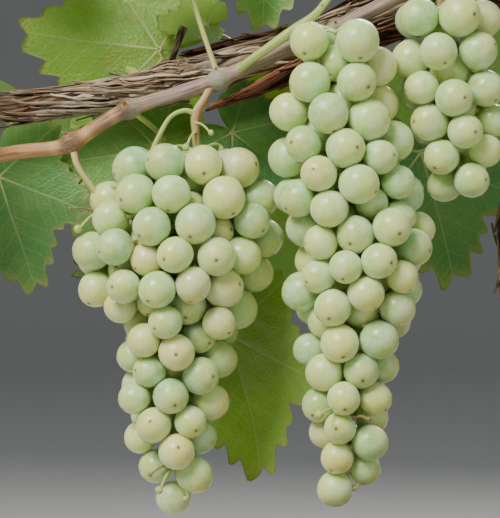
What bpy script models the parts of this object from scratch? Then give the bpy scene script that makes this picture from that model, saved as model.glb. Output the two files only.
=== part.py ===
"""Grapevine in a terracotta pot: an old trunk with two arms, canes, leafy shoots and bunches of grapes.

Metres, +Z up, +X along the right arm. The origin is the centre of the pot's underside.
Heights on the vine are measured from the top of the soil, so the vine moves up and down with the pot.
Each piece that grows from another starts inside it and is cut back to its surface, less GAP.
"""

import math
import random

import bmesh
import bpy
from mathutils import Matrix, Vector

GAP = 0.0004  # clearance between pieces that touch

# The pot
POT_HEIGHT = 0.260
POT_RADIUS = 0.142  # outside, under the rim band
POT_BASE_RADIUS = 0.104
POT_WALL = 0.009
POT_FLOOR = 0.013
RIM_BAND = 0.040  # height of the thick band round the mouth
RIM_OVERHANG = 0.008
RIM_ROUND = 0.004
DRAIN_HOLES = 4
DRAIN_RADIUS = 0.007
DRAIN_CIRCLE = 0.060
DRAIN_SIDES = 12
POT_SIDES = 36

# The soil
SOIL_BELOW_RIM = 0.028
SOIL_CROWN = 0.004  # how far its middle stands above its edge
SOIL_TOP = POT_HEIGHT - SOIL_BELOW_RIM

# The wood
TRUNK_RADIUS = 0.0155
ARM_RADIUS = 0.0072
OLD_CANE_RADIUS = 0.0028
CANE_RADIUS = 0.0034
SPUR_RADIUS = 0.0017
SHOOT_RADIUS = 0.0018
STALK_RADIUS = 0.0018
PETIOLE_RADIUS = 0.0011
PETIOLE_SIDES = 4
PETIOLE_STEPS = 4
PETIOLE_BEND = 0.32  # how far the bend of a petiole lies under its end, as a share of its reach
TENDRIL_RADIUS = 0.0007
TRUNK_SIDES, BRANCH_SIDES, TWIG_SIDES = 12, 9, 7
CURVE_STEPS = 2  # straight runs between two points of a stem

# The leaves and berries
LEAF_THICKNESS = 0.0008
BERRY_RADIUS = 0.0083
BERRY_LEAST, BERRY_MOST = 0.82, 1.14
BERRY_TOP_SIZE = 1.06  # share of the radius that berries have at a bunch's top
BERRY_TAPER = 0.18  # how much of that share is lost towards its tip
BERRY_TOUCH = 0.96  # centres of neighbours lie this share of their two radii apart
BERRY_SPACING = 1.62  # from berry to berry round a ring, in radii
RING_SPACING = 1.50  # from ring to ring, in radii
BERRY_STRAY = 0.25  # how far a berry may sit from its even place
LAST_RING = 0.6  # least height of a ring over the tip, in radii
BERRY_LOW = 0.9  # least distance of a berry's centre from the top and the tip, in its radii
NARROWEST = 0.3  # least half width that berries are kept to, in their radii
BERRY_DEPTHS = (0.62, 1.12)  # how near the outline a berry starts, 1 being on it
BERRY_BULGE = 1.08  # how far past the outline a berry may be pushed
SPREAD_ROUNDS, HELD_ROUNDS = 60, 45
CORE_DEPTH = 0.90  # how far the joined stalks inside a bunch lie under its outline, in berry radii
CORE_SIDES = 10
CORE_TURN = 0.37  # keeps the core's edges off the berries' own, as a share of a side

# Stems: x, y, height above the soil, and thickness as a share of the stem's radius.
TRUNK = (
    (0.000, 0.000, -0.060, 0.60),
    (0.000, 0.000, -0.030, 0.90),
    (0.000, 0.000, 0.000, 1.30),
    (0.001, 0.001, 0.014, 1.15),
    (0.008, 0.004, 0.050, 1.00),
    (0.010, 0.008, 0.100, 0.92),
    (0.002, 0.010, 0.150, 0.98),
    (-0.003, 0.006, 0.200, 0.88),
    (0.004, 0.004, 0.250, 0.90),
    (0.008, 0.004, 0.290, 0.98),
    (0.002, 0.006, 0.316, 0.95),
    (-0.004, 0.006, 0.330, 0.60),
)
LEFT_ARM = (
    (0.004, 0.005, 0.306, 1.45),
    (-0.014, 0.007, 0.317, 1.35),
    (-0.032, 0.008, 0.319, 1.12),
    (-0.051, 0.008, 0.3116, 1.00),
    (-0.0684, 0.007, 0.302, 1.00),
    (-0.0882, 0.006, 0.293, 1.02),
    (-0.108, 0.006, 0.2844, 0.95),
    (-0.130, 0.006, 0.2778, 1.00),
    (-0.152, 0.006, 0.2712, 1.08),
    (-0.1652, 0.006, 0.268, 1.22),
    (-0.178, 0.006, 0.265, 0.95),
    (-0.1916, 0.007, 0.2624, 0.92),
    (-0.2189, 0.008, 0.2584, 0.90),
    (-0.240, 0.008, 0.256, 0.95),
    (-0.254, 0.007, 0.258, 0.80),
)
RIGHT_ARM = (
    (0.002, 0.005, 0.304, 1.40),
    (0.020, 0.008, 0.316, 1.30),
    (0.042, 0.012, 0.327, 1.05),
    (0.068, 0.014, 0.333, 1.00),
    (0.092, 0.012, 0.331, 1.10),
    (0.112, 0.008, 0.334, 0.85),
)
UPPER_OLD_CANE = (
    (0.000, 0.008, 0.314, 1.20),
    (-0.022, 0.020, 0.333, 1.10),
    (-0.055, 0.021, 0.322, 1.00),
    (-0.086, 0.020, 0.303, 1.05),
    (-0.108, 0.019, 0.292, 1.00),
    (-0.136, 0.019, 0.286, 0.90),
    (-0.163, 0.019, 0.2808, 0.70),
)
LOWER_OLD_CANE = (
    (0.002, 0.002, 0.296, 1.30),
    (-0.024, 0.005, 0.303, 1.20),
    (-0.064, 0.001, 0.2905, 1.10),
    (-0.0948, 0.000, 0.279, 1.00),
    (-0.1234, 0.000, 0.2655, 0.90),
    (-0.1498, 0.000, 0.2545, 0.70),
)
CANE = (
    (-0.002, -0.002, 0.318, 1.20),
    (-0.024, -0.012, 0.3225, 1.05),
    (-0.0464, -0.0135, 0.3125, 1.22),
    (-0.0684, -0.0135, 0.302, 0.95),
    (-0.0935, -0.0135, 0.2896, 1.25),
    (-0.119, -0.0135, 0.2785, 0.95),
    (-0.1436, -0.0135, 0.2676, 1.30),
    (-0.1637, -0.0135, 0.2607, 0.98),
    (-0.1837, -0.0135, 0.2544, 1.25),
    (-0.197, -0.013, 0.2470, 0.98),
    (-0.2092, -0.012, 0.2395, 1.40),
    (-0.2189, -0.011, 0.2368, 1.00),
    (-0.238, -0.008, 0.2350, 0.92),
    (-0.258, -0.004, 0.2310, 1.20),
    (-0.270, -0.002, 0.2300, 0.90),
)
SPUR = (
    (-0.1652, 0.006, 0.268, 1.60),
    (-0.1655, 0.004, 0.2755, 1.10),
    (-0.1630, 0.003, 0.284, 0.95),
    (-0.1597, 0.003, 0.2925, 1.05),
)

# Green shoots
CENTRE_SHOOT = (
    (-0.1357, -0.0135, 0.2712, 1.20),
    (-0.128, -0.020, 0.2765, 1.05),
    (-0.1124, -0.022, 0.2874, 1.25),
    (-0.099, -0.020, 0.298, 0.95),
    (-0.088, -0.014, 0.318, 0.95),
    (-0.083, -0.006, 0.345, 1.05),
    (-0.088, 0.000, 0.372, 0.75),
    (-0.094, 0.003, 0.394, 0.55),
)
BACK_LEFT_SHOOT = (
    (-0.178, 0.006, 0.265, 1.10),
    (-0.180, 0.022, 0.270, 1.10),
    (-0.188, 0.036, 0.276, 1.15),
    (-0.202, 0.044, 0.272, 0.95),
    (-0.219, 0.048, 0.261, 1.00),
    (-0.234, 0.047, 0.244, 0.70),
)
BACK_CENTRE_SHOOT = (
    (-0.108, 0.006, 0.2844, 1.10),
    (-0.104, 0.024, 0.276, 1.10),
    (-0.106, 0.038, 0.259, 1.05),
    (-0.114, 0.043, 0.236, 1.10),
    (-0.124, 0.042, 0.208, 0.95),
    (-0.132, 0.038, 0.182, 0.85),
    (-0.136, 0.032, 0.166, 0.60),
)
HEAD_SHOOT = (
    (0.000, 0.006, 0.318, 1.15),
    (-0.004, 0.034, 0.328, 1.10),
    (-0.018, 0.052, 0.318, 1.05),
    (-0.034, 0.060, 0.294, 1.00),
    (-0.043, 0.060, 0.266, 0.70),
)
LEFT_SHOOT = (
    (-0.258, -0.004, 0.2310, 1.10),
    (-0.263, -0.003, 0.243, 1.05),
    (-0.266, 0.000, 0.262, 1.05),
    (-0.262, 0.004, 0.284, 1.00),
    (-0.254, 0.006, 0.306, 0.90),
    (-0.250, 0.004, 0.326, 0.60),
)
RIGHT_UPPER_SHOOT = (
    (0.068, 0.014, 0.333, 1.20),
    (0.071, 0.010, 0.346, 1.05),
    (0.066, 0.004, 0.368, 1.05),
    (0.056, 0.002, 0.390, 0.95),
    (0.050, 0.006, 0.412, 0.60),
)
RIGHT_LOWER_SHOOT = (
    (0.100, 0.010, 0.332, 1.20),
    (0.106, -0.006, 0.334, 1.05),
    (0.120, -0.018, 0.322, 1.05),
    (0.134, -0.022, 0.298, 0.95),
    (0.140, -0.020, 0.270, 0.80),
    (0.138, -0.016, 0.248, 0.55),
)

# Stalks of the bunches; the wing is a side stalk of the left bunch.
LEFT_STALK = (
    (-0.1462, -0.0135, 0.2668, 1.10),
    (-0.1495, -0.0150, 0.2600, 0.95),
    (-0.1540, -0.0155, 0.2520, 1.15),
    (-0.1540, -0.0155, 0.2430, 0.95),
    (-0.1535, -0.0155, 0.2330, 1.00),
    (-0.1560, -0.0155, 0.2180, 1.00),
)
LEFT_WING = (
    (-0.1540, -0.0155, 0.2520, 0.70),
    (-0.1590, -0.0175, 0.2535, 0.60),
    (-0.1655, -0.0190, 0.2500, 0.55),
    (-0.1710, -0.0195, 0.2400, 0.55),
    (-0.1755, -0.0190, 0.2290, 0.55),
    (-0.1770, -0.0160, 0.2180, 0.55),
)
NODE_STALK = (
    (-0.2085, -0.012, 0.2395, 1.00),
    (-0.2065, -0.015, 0.2300, 0.80),
    (-0.2000, -0.016, 0.2200, 0.75),
    (-0.1935, -0.016, 0.2120, 0.70),
    (-0.1840, -0.016, 0.2020, 0.60),
)
RIGHT_STALK = (
    (-0.0935, -0.0135, 0.2896, 1.10),
    (-0.0925, -0.0195, 0.2835, 1.05),
    (-0.0910, -0.0225, 0.2740, 1.00),
    (-0.0900, -0.0270, 0.2640, 1.00),
    (-0.0905, -0.0330, 0.2520, 1.00),
)
THIRD_STALK = (
    (-0.0464, -0.0135, 0.3125, 1.10),
    (-0.0460, -0.0180, 0.3050, 1.05),
    (-0.0458, -0.0185, 0.2950, 1.00),
    (-0.0455, -0.0210, 0.2820, 1.00),
    (-0.0450, -0.0260, 0.2680, 1.00),
)

# Outlines of the bunches, top to bottom: height above the soil, middle x, middle y, half width, half depth.
LEFT_OUTLINE = (
    (0.2365, -0.1520, -0.016, 0.010, 0.009),
    (0.2272, -0.1580, -0.016, 0.031, 0.023),
    (0.2140, -0.1590, -0.016, 0.040, 0.029),
    (0.1920, -0.1626, -0.016, 0.045, 0.032),
    (0.1744, -0.1643, -0.016, 0.039, 0.030),
    (0.1568, -0.1617, -0.016, 0.029, 0.025),
    (0.1392, -0.1620, -0.015, 0.023, 0.021),
    (0.1216, -0.1650, -0.014, 0.023, 0.020),
    (0.1040, -0.1648, -0.014, 0.0175, 0.016),
    (0.0908, -0.1620, -0.014, 0.011, 0.011),
    (0.0790, -0.1590, -0.014, 0.006, 0.006),
)
RIGHT_OUTLINE = (
    (0.2880, -0.0925, -0.036, 0.012, 0.009),
    (0.2800, -0.0930, -0.036, 0.020, 0.013),
    (0.2681, -0.0890, -0.035, 0.021, 0.017),
    (0.2461, -0.0930, -0.034, 0.027, 0.022),
    (0.2206, -0.0882, -0.033, 0.030, 0.025),
    (0.2074, -0.0815, -0.032, 0.032, 0.026),
    (0.1876, -0.0820, -0.032, 0.027, 0.025),
    (0.1656, -0.0869, -0.031, 0.027, 0.023),
    (0.1480, -0.0869, -0.030, 0.021, 0.020),
    (0.1260, -0.0875, -0.030, 0.019, 0.017),
    (0.1084, -0.0860, -0.030, 0.0145, 0.014),
    (0.0930, -0.0875, -0.030, 0.010, 0.010),
    (0.0850, -0.0880, -0.030, 0.007, 0.007),
)
THIRD_OUTLINE = (
    (0.3000, -0.0465, -0.028, 0.010, 0.009),
    (0.2920, -0.0455, -0.028, 0.020, 0.016),
    (0.2700, -0.0430, -0.027, 0.023, 0.020),
    (0.2480, -0.0410, -0.027, 0.023, 0.020),
    (0.2300, -0.0390, -0.027, 0.016, 0.015),
    (0.2160, -0.0380, -0.027, 0.008, 0.008),
)

# Half of a leaf's edge round the end of its petiole: degrees from the midrib, and reach in leaf lengths.
LEAF_EDGE = (
    (0, 1.00),
    (18, 0.80),
    (31, 0.67),
    (52, 0.86),
    (86, 0.57),
    (112, 0.66),
    (150, 0.44),
    (176, 0.10),
)

# Leaves: name, stem, which of its points they grow from, end of the petiole (x, y, height above the soil),
# direction of the midrib, direction the upper side faces, length, fold along the midrib, droop to the edge.
LEAVES = (
    ("leaf_upper_left", BACK_LEFT_SHOOT, 1,
     (-0.172, 0.032, 0.285), (-1, 0.05, 0.12), (0.1, -0.95, 0.15), 0.066, -0.15, 0.10),
    ("leaf_lower_left", CANE, 8,
     (-0.172, 0.020, 0.238), (-1, 0.0, -0.12), (0.0, -0.95, 0.10), 0.048, 0.15, 0.10),
    ("leaf_left_edge", BACK_LEFT_SHOOT, 4,
     (-0.246, 0.030, 0.226), (0.30, -0.10, -1), (-0.3, -0.9, 0.1), 0.056, 0.10, 0.15),
    ("leaf_left_back", BACK_LEFT_SHOOT, 3,
     (-0.206, 0.066, 0.246), (0.25, 0.15, -1), (0.1, 1, 0.3), 0.064, 0.12, 0.12),
    ("leaf_left_tip", BACK_LEFT_SHOOT, 5,
     (-0.264, 0.050, 0.276), (-0.8, 0.5, 0.1), (-0.2, 0.5, 0.9), 0.050, 0.15, 0.15),
    ("leaf_small", UPPER_OLD_CANE, 5,
     (-0.150, 0.026, 0.296), (-1, 0.10, 0.05), (0.1, -0.7, 0.7), 0.024, 0.20, 0.10),
    ("leaf_bright", BACK_CENTRE_SHOOT, 1,
     (-0.113, 0.034, 0.277), (-0.9, 0.05, -0.45), (-0.1, -1, 0.05), 0.030, 0.15, 0.10),
    ("leaf_centre", BACK_CENTRE_SHOOT, 4,
     (-0.138, 0.022, 0.246), (0.75, -0.05, -0.60), (0.1, -1, 0.05), 0.040, 0.10, 0.15),
    ("leaf_hanging", BACK_CENTRE_SHOOT, 6,
     (-0.1400, 0.026, 0.1535), (0.30, -0.03, -1), (-0.55, -0.85, 0.1), 0.068, 0.20, 0.05),
    ("leaf_behind_bunch", BACK_CENTRE_SHOOT, 4,
     (-0.172, 0.044, 0.200), (-0.20, 0.14, -1), (0.1, -0.9, 0.1), 0.052, 0.10, 0.10),
    ("leaf_centre_back", BACK_CENTRE_SHOOT, 4,
     (-0.122, 0.064, 0.214), (-0.15, 0.15, -1), (0.1, 1, 0.3), 0.066, 0.12, 0.12),
    ("leaf_right", HEAD_SHOOT, 4,
     (-0.0500, 0.044, 0.238), (0.28, -0.12, -1), (0.15, -0.9, 0.3), 0.064, 0.10, 0.12),
    ("leaf_right_back", HEAD_SHOOT, 3,
     (-0.026, 0.078, 0.272), (0.25, 0.20, -1), (0.2, 1, 0.4), 0.066, 0.12, 0.12),
    ("leaf_head_back", HEAD_SHOOT, 2,
     (-0.046, 0.072, 0.330), (-0.8, 0.35, -0.1), (-0.2, 0.6, 1), 0.060, 0.15, 0.15),
    ("leaf_top_left", CANE, 6,
     (-0.160, -0.014, 0.321), (-0.15, 0.10, 1), (-0.1, -0.95, 0.2), 0.050, 0.15, 0.15),
    ("leaf_top_centre", CENTRE_SHOOT, 5,
     (-0.122, -0.002, 0.345), (-0.05, 0.0, -1), (-0.1, -1, 0.10), 0.055, 0.10, 0.10),
    ("leaf_shoot_right", CENTRE_SHOOT, 5,
     (-0.058, -0.018, 0.352), (0.8, -0.25, -0.1), (0.2, -0.6, 0.9), 0.060, 0.12, 0.15),
    ("leaf_shoot_left", CENTRE_SHOOT, 6,
     (-0.112, 0.002, 0.385), (-0.8, 0.10, 0.05), (-0.2, -0.5, 1), 0.052, 0.15, 0.15),
    ("leaf_shoot_tip", CENTRE_SHOOT, 7,
     (-0.090, 0.010, 0.408), (0.2, 0.4, 0.6), (0.1, -0.8, 0.4), 0.036, 0.25, 0.10),
    ("leaf_arm_end", LEFT_SHOOT, 2,
     (-0.284, -0.016, 0.262), (-0.7, -0.35, -0.35), (-0.5, -0.6, 0.8), 0.058, 0.12, 0.15),
    ("leaf_arm_end_upper", LEFT_SHOOT, 4,
     (-0.276, 0.012, 0.322), (-0.9, 0.10, 0.05), (-0.3, -0.6, 0.9), 0.056, 0.12, 0.15),
    ("leaf_arm_end_tip", LEFT_SHOOT, 5,
     (-0.240, 0.000, 0.344), (0.5, -0.10, 0.45), (-0.2, -0.8, 0.5), 0.036, 0.20, 0.10),
    ("leaf_right_upper", RIGHT_UPPER_SHOOT, 2,
     (0.096, -0.004, 0.386), (0.9, -0.15, 0.05), (0.2, -0.5, 1), 0.062, 0.12, 0.15),
    ("leaf_right_inner", RIGHT_UPPER_SHOOT, 3,
     (0.026, -0.010, 0.398), (-0.9, -0.20, -0.05), (-0.2, -0.6, 0.9), 0.056, 0.12, 0.15),
    ("leaf_right_tip", RIGHT_UPPER_SHOOT, 4,
     (0.054, 0.018, 0.426), (0.4, 0.4, 0.3), (0.0, -0.6, 0.8), 0.038, 0.20, 0.10),
    ("leaf_end_front", RIGHT_LOWER_SHOOT, 3,
     (0.118, -0.046, 0.300), (-0.35, -0.35, -1), (-0.1, -1, 0.5), 0.064, 0.12, 0.12),
    ("leaf_end_side", RIGHT_LOWER_SHOOT, 2,
     (0.152, -0.020, 0.340), (0.9, 0.10, -0.15), (0.3, -0.4, 1), 0.060, 0.12, 0.15),
    ("leaf_end_low", RIGHT_LOWER_SHOOT, 5,
     (0.148, -0.008, 0.228), (0.25, 0.20, -1), (0.8, -0.5, 0.4), 0.056, 0.15, 0.12),
    ("leaf_end_back", RIGHT_UPPER_SHOOT, 1,
     (0.076, 0.044, 0.344), (0.3, 0.5, -0.7), (0.2, 1, 0.7), 0.060, 0.12, 0.15),
)

# Tendrils: name, stem, which of its points, direction they leave in, reach before the coil, coil radius.
TENDRILS = (
    ("tendril_left", LEFT_SHOOT, 3, (0.6, -1, 0.5), 0.026, 0.006),
    ("tendril_right", RIGHT_LOWER_SHOOT, 4, (1, -0.7, 0.2), 0.030, 0.006),
)
TENDRIL_TURNS = 2.5
TENDRIL_RISE = 0.0045  # per turn of the coil
TENDRIL_STEPS = 8  # straight runs in a turn
TENDRIL_SIDES = 4
TENDRIL_WAVE = 0.004  # how far its straight part waves


def clear_scene():
    for obj in list(bpy.data.objects):
        bpy.data.objects.remove(obj, do_unlink=True)


def material(name, color, roughness):
    made = bpy.data.materials.new(name)
    made.use_nodes = True
    shader = made.node_tree.nodes["Principled BSDF"]
    shader.inputs["Base Color"].default_value = (*color, 1.0)
    shader.inputs["Roughness"].default_value = roughness
    return made


def mesh_object(name, bm, look):
    """The bmesh as an object, with its faces turned outward and its round sides shaded smooth."""
    bmesh.ops.recalc_face_normals(bm, faces=bm.faces)
    mesh = bpy.data.meshes.new(name)
    bm.to_mesh(mesh)
    bm.free()
    mesh.materials.append(look)
    mesh.shade_smooth()
    mesh.set_sharp_from_angle(angle=math.radians(40))
    obj = bpy.data.objects.new(name, mesh)
    bpy.context.collection.objects.link(obj)
    return obj


def apply_boolean(obj, tool, operation):
    """Join the tool to the object or cut it away, and remove the tool."""
    modifier = obj.modifiers.new(operation, "BOOLEAN")
    modifier.operation = operation
    modifier.solver = "EXACT"
    modifier.object = tool
    modifier.use_self = True
    graph = bpy.context.evaluated_depsgraph_get()
    result = bpy.data.meshes.new_from_object(obj.evaluated_get(graph), depsgraph=graph)
    obj.modifiers.clear()
    obj.data = result
    bpy.data.objects.remove(tool, do_unlink=True)


def above_soil(x, y, height):
    return Vector((x, y, SOIL_TOP + height))


def smooth_stem(rows, radius, swell=0.0):
    """Centres and radii along a smooth line through the rows of a stem."""
    line = []
    last = len(rows) - 1
    for i in range(last):
        before, after = rows[max(i - 1, 0)], rows[min(i + 2, last)]
        for step in range(CURVE_STEPS):
            line.append(catmull_rom(before, rows[i], rows[i + 1], after, step / CURVE_STEPS))
    line.append(rows[-1])
    return [(above_soil(*row[:3]), row[3] * radius + swell) for row in line]


def catmull_rom(before, start, end, after, t):
    def blend(a, b, c, d):
        return b + 0.5 * t * (c - a + t * (2 * a - 5 * b + 4 * c - d + t * (3 * (b - c) + d - a)))

    return tuple(blend(*values) for values in zip(before, start, end, after))


def bezier(start, control, end, steps):
    points = []
    for i in range(steps + 1):
        t = i / steps
        points.append((1 - t) ** 2 * start + 2 * t * (1 - t) * control + t * t * end)
    return points


def tube(name, line, sides, look):
    """A closed tube through the centres and radii of a line."""
    bm = bmesh.new()
    rings = []
    tangent = (line[1][0] - line[0][0]).normalized()
    across = tangent.orthogonal().normalized()
    for i, (centre, radius) in enumerate(line):
        ahead = line[min(i + 1, len(line) - 1)][0] - line[max(i - 1, 0)][0]
        turn = tangent.rotation_difference(ahead.normalized())
        tangent = ahead.normalized()
        across = (turn @ across).normalized()
        side = tangent.cross(across)
        ring = []
        for k in range(sides):
            angle = 2 * math.pi * k / sides
            ring.append(bm.verts.new(centre + radius * (math.cos(angle) * across + math.sin(angle) * side)))
        rings.append(ring)
    for lower, upper in zip(rings, rings[1:]):
        for k in range(sides):
            bm.faces.new((lower[k], lower[(k + 1) % sides], upper[(k + 1) % sides], upper[k]))
    bm.faces.new(rings[0])
    bm.faces.new(rings[-1])
    return mesh_object(name, bm, look)


def turned(name, profile, look):
    """A solid turned round Z from a profile of radii and heights that starts and ends on the axis."""
    bm = bmesh.new()
    first = bm.verts.new((0, 0, profile[0][1]))
    last = bm.verts.new((0, 0, profile[-1][1]))
    rings = []
    for radius, height in profile[1:-1]:
        ring = []
        for k in range(POT_SIDES):
            angle = 2 * math.pi * k / POT_SIDES
            ring.append(bm.verts.new((radius * math.cos(angle), radius * math.sin(angle), height)))
        rings.append(ring)
    for lower, upper in zip(rings, rings[1:]):
        for k in range(POT_SIDES):
            bm.faces.new((lower[k], lower[(k + 1) % POT_SIDES], upper[(k + 1) % POT_SIDES], upper[k]))
    for k in range(POT_SIDES):
        bm.faces.new((first, rings[0][k], rings[0][(k + 1) % POT_SIDES]))
        bm.faces.new((last, rings[-1][k], rings[-1][(k + 1) % POT_SIDES]))
    return mesh_object(name, bm, look)


def pot_inner_radius(height):
    """The inside of the wall, which slopes from the base to the mouth."""
    slope = (POT_RADIUS - POT_BASE_RADIUS) / POT_HEIGHT
    return POT_BASE_RADIUS + slope * height - POT_WALL


def make_pot(look):
    band_foot = POT_HEIGHT - RIM_BAND
    under_band = pot_inner_radius(band_foot) + POT_WALL
    band = POT_RADIUS + RIM_OVERHANG
    mouth = pot_inner_radius(POT_HEIGHT)
    profile = (
        (0, 0),
        (POT_BASE_RADIUS - RIM_ROUND, 0),
        (POT_BASE_RADIUS, RIM_ROUND),
        (under_band, band_foot),
        (band - RIM_ROUND, band_foot + RIM_ROUND / 2),
        (band, band_foot + 2 * RIM_ROUND),
        (band, POT_HEIGHT - RIM_ROUND),
        (band - RIM_ROUND, POT_HEIGHT),
        (mouth + RIM_ROUND, POT_HEIGHT),
        (mouth, POT_HEIGHT - RIM_ROUND),
        (pot_inner_radius(POT_FLOOR), POT_FLOOR),
        (0, POT_FLOOR),
    )
    pot = turned("pot", profile, look)
    for k in range(DRAIN_HOLES):
        angle = 2 * math.pi * (k + 0.5) / DRAIN_HOLES
        centre = Vector((DRAIN_CIRCLE * math.cos(angle), DRAIN_CIRCLE * math.sin(angle), 0))
        below, above = centre - Vector((0, 0, POT_FLOOR)), centre + Vector((0, 0, 2 * POT_FLOOR))
        drill = tube("drill", [(below, DRAIN_RADIUS), (above, DRAIN_RADIUS)], DRAIN_SIDES, look)
        apply_boolean(pot, drill, "DIFFERENCE")


def make_soil(look):
    """Fills the pot to SOIL_BELOW_RIM under its mouth, with a socket for the foot of the trunk."""
    bottom = POT_FLOOR + GAP
    edge = SOIL_TOP - SOIL_CROWN
    profile = (
        (0, bottom),
        (pot_inner_radius(bottom) - GAP, bottom),
        (pot_inner_radius(edge) - GAP, edge),
        (0.75 * pot_inner_radius(edge), SOIL_TOP - 0.4 * SOIL_CROWN),
        (0.35 * pot_inner_radius(edge), SOIL_TOP),
        (0, SOIL_TOP),
    )
    soil = turned("soil", profile, look)
    socket = tube("socket", smooth_stem(TRUNK[:5], TRUNK_RADIUS, GAP), TRUNK_SIDES, look)
    apply_boolean(soil, socket, "DIFFERENCE")


def make_old_wood(look):
    """The trunk and its two arms, which grew as one piece."""
    wood = tube("trunk_and_arms", smooth_stem(TRUNK, TRUNK_RADIUS), TRUNK_SIDES, look)
    for rows in (LEFT_ARM, RIGHT_ARM):
        apply_boolean(wood, tube("arm", smooth_stem(rows, ARM_RADIUS), BRANCH_SIDES, look), "UNION")


def stem_radius(rows):
    """The radius that a stem's thicknesses are shares of."""
    own = {
        TRUNK: TRUNK_RADIUS,
        LEFT_ARM: ARM_RADIUS,
        RIGHT_ARM: ARM_RADIUS,
        UPPER_OLD_CANE: OLD_CANE_RADIUS,
        LOWER_OLD_CANE: OLD_CANE_RADIUS,
        CANE: CANE_RADIUS,
        LEFT_STALK: STALK_RADIUS,
    }
    return own.get(rows, SHOOT_RADIUS)


def drop_offcuts(obj):
    """Keeps the largest of the bodies that a cut has left."""
    bm = bmesh.new()
    bm.from_mesh(obj.data)
    bodies = []
    left = set(bm.verts)
    while left:
        body, edge = set(), {left.pop()}
        while edge:
            body |= edge
            edge = {e.other_vert(v) for v in edge for e in v.link_edges} - body
        left -= body
        bodies.append(body)
    main_body = max(bodies, key=len)
    bmesh.ops.delete(bm, geom=[v for v in bm.verts if v not in main_body], context="VERTS")
    bm.to_mesh(obj.data)
    bm.free()


def cut_back(piece, parents, look):
    """Ends a piece at the surface of each stem that it grows from."""
    for rows in parents:
        sides = TRUNK_SIDES if rows is TRUNK else BRANCH_SIDES
        swollen = tube("swollen", smooth_stem(rows, stem_radius(rows), GAP), sides, look)
        apply_boolean(piece, swollen, "DIFFERENCE")
    drop_offcuts(piece)


def make_stem(name, rows, radius, sides, parents, look):
    stem = tube(name, smooth_stem(rows, radius), sides, look)
    cut_back(stem, parents, look)
    return stem


def leaf_outline(length):
    """The edge of a leaf in its own plane: across and along the midrib."""
    right = [(math.radians(degrees), reach * length) for degrees, reach in LEAF_EDGE]
    left = [(-angle, reach) for angle, reach in reversed(right[1:])]
    return [(reach * math.sin(angle), reach * math.cos(angle)) for angle, reach in right + left]


def leaf_frame(aim, face):
    """Unit directions across, along and out of the upper side of a leaf."""
    along = Vector(aim).normalized()
    out = Vector(face)
    out = (out - out.dot(along) * along).normalized()
    return along.cross(out), along, out


def make_blade(name, end, aim, face, length, fold, droop, look):
    across, along, out = leaf_frame(aim, face)
    centre = above_soil(*end)
    half = LEAF_THICKNESS / 2
    bm = bmesh.new()
    layers = []
    for level in (half, -half):
        middle = bm.verts.new(centre + level * out)
        edge = []
        for u, v in leaf_outline(length):
            lift = fold * abs(u) - droop * (u * u + v * v) / length + level
            edge.append(bm.verts.new(centre + u * across + v * along + lift * out))
        layers.append((middle, edge))
    count = len(layers[0][1])
    for middle, edge in layers:
        for k in range(count):
            bm.faces.new((middle, edge[k], edge[(k + 1) % count]))
    upper, lower = layers[0][1], layers[1][1]
    for k in range(count):
        after = (k + 1) % count
        bm.faces.new((upper[k], upper[after], lower[after]))
        bm.faces.new((upper[k], lower[after], lower[k]))
    return mesh_object(name, bm, look)


def make_leaf(row, look):
    """A blade and its petiole, which starts in the stem and meets the blade from below."""
    name, stem, point, end, aim, face, length, fold, droop = row
    leaf = make_blade(name, end, aim, face, length, fold, droop, look)
    _, along, out = leaf_frame(aim, face)
    start = above_soil(*stem[point][:3])
    tip = above_soil(*end)
    control = tip - PETIOLE_BEND * (tip - start).length * (along + out)
    line = [(centre, PETIOLE_RADIUS) for centre in bezier(start, control, tip, PETIOLE_STEPS)]
    apply_boolean(leaf, tube("petiole", line, PETIOLE_SIDES, look), "UNION")
    cut_back(leaf, (stem,), look)


def outline_at(outline, height):
    """Middle x, middle y, half width and half depth of a bunch at a height."""
    for upper, lower in zip(outline, outline[1:]):
        if height >= lower[0]:
            share = min(max((upper[0] - height) / (upper[0] - lower[0]), 0), 1)
            return [a + share * (b - a) for a, b in zip(upper[1:], lower[1:])]
    return list(outline[-1][1:])


def place_berries(outline, seed):
    """Berries in rings within a bunch's outline: centre (x, y, height) and radius of each."""
    draw = random.Random(seed)
    berries = []
    top, bottom = outline[0][0], outline[-1][0]
    height = top - BERRY_RADIUS
    turn = 0.0
    while height > bottom + LAST_RING * BERRY_RADIUS:
        x, y, half_width, half_depth = outline_at(outline, height)
        a, b = max(half_width - BERRY_RADIUS, 0), max(half_depth - BERRY_RADIUS, 0)
        around = 2 * math.pi * math.sqrt((a * a + b * b) / 2)
        count = max(1, round(around / (BERRY_SPACING * BERRY_RADIUS)))
        size = BERRY_RADIUS * (BERRY_TOP_SIZE - BERRY_TAPER * (top - height) / (top - bottom))
        for k in range(count):
            angle = turn + 2 * math.pi * (k + draw.uniform(-BERRY_STRAY, BERRY_STRAY)) / count
            radius = size * draw.triangular(BERRY_LEAST, BERRY_MOST, 1.0)
            inset = draw.uniform(*BERRY_DEPTHS) if count > 2 else 1.0
            centre = (
                x + inset * a * math.cos(angle),
                y + inset * b * math.sin(angle),
                height + draw.uniform(-BERRY_STRAY, BERRY_STRAY) * BERRY_RADIUS,
            )
            berries.append([*centre, radius])
        height -= RING_SPACING * BERRY_RADIUS
        turn += math.pi / max(count, 2) + draw.uniform(-BERRY_STRAY, BERRY_STRAY)
    return berries


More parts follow.
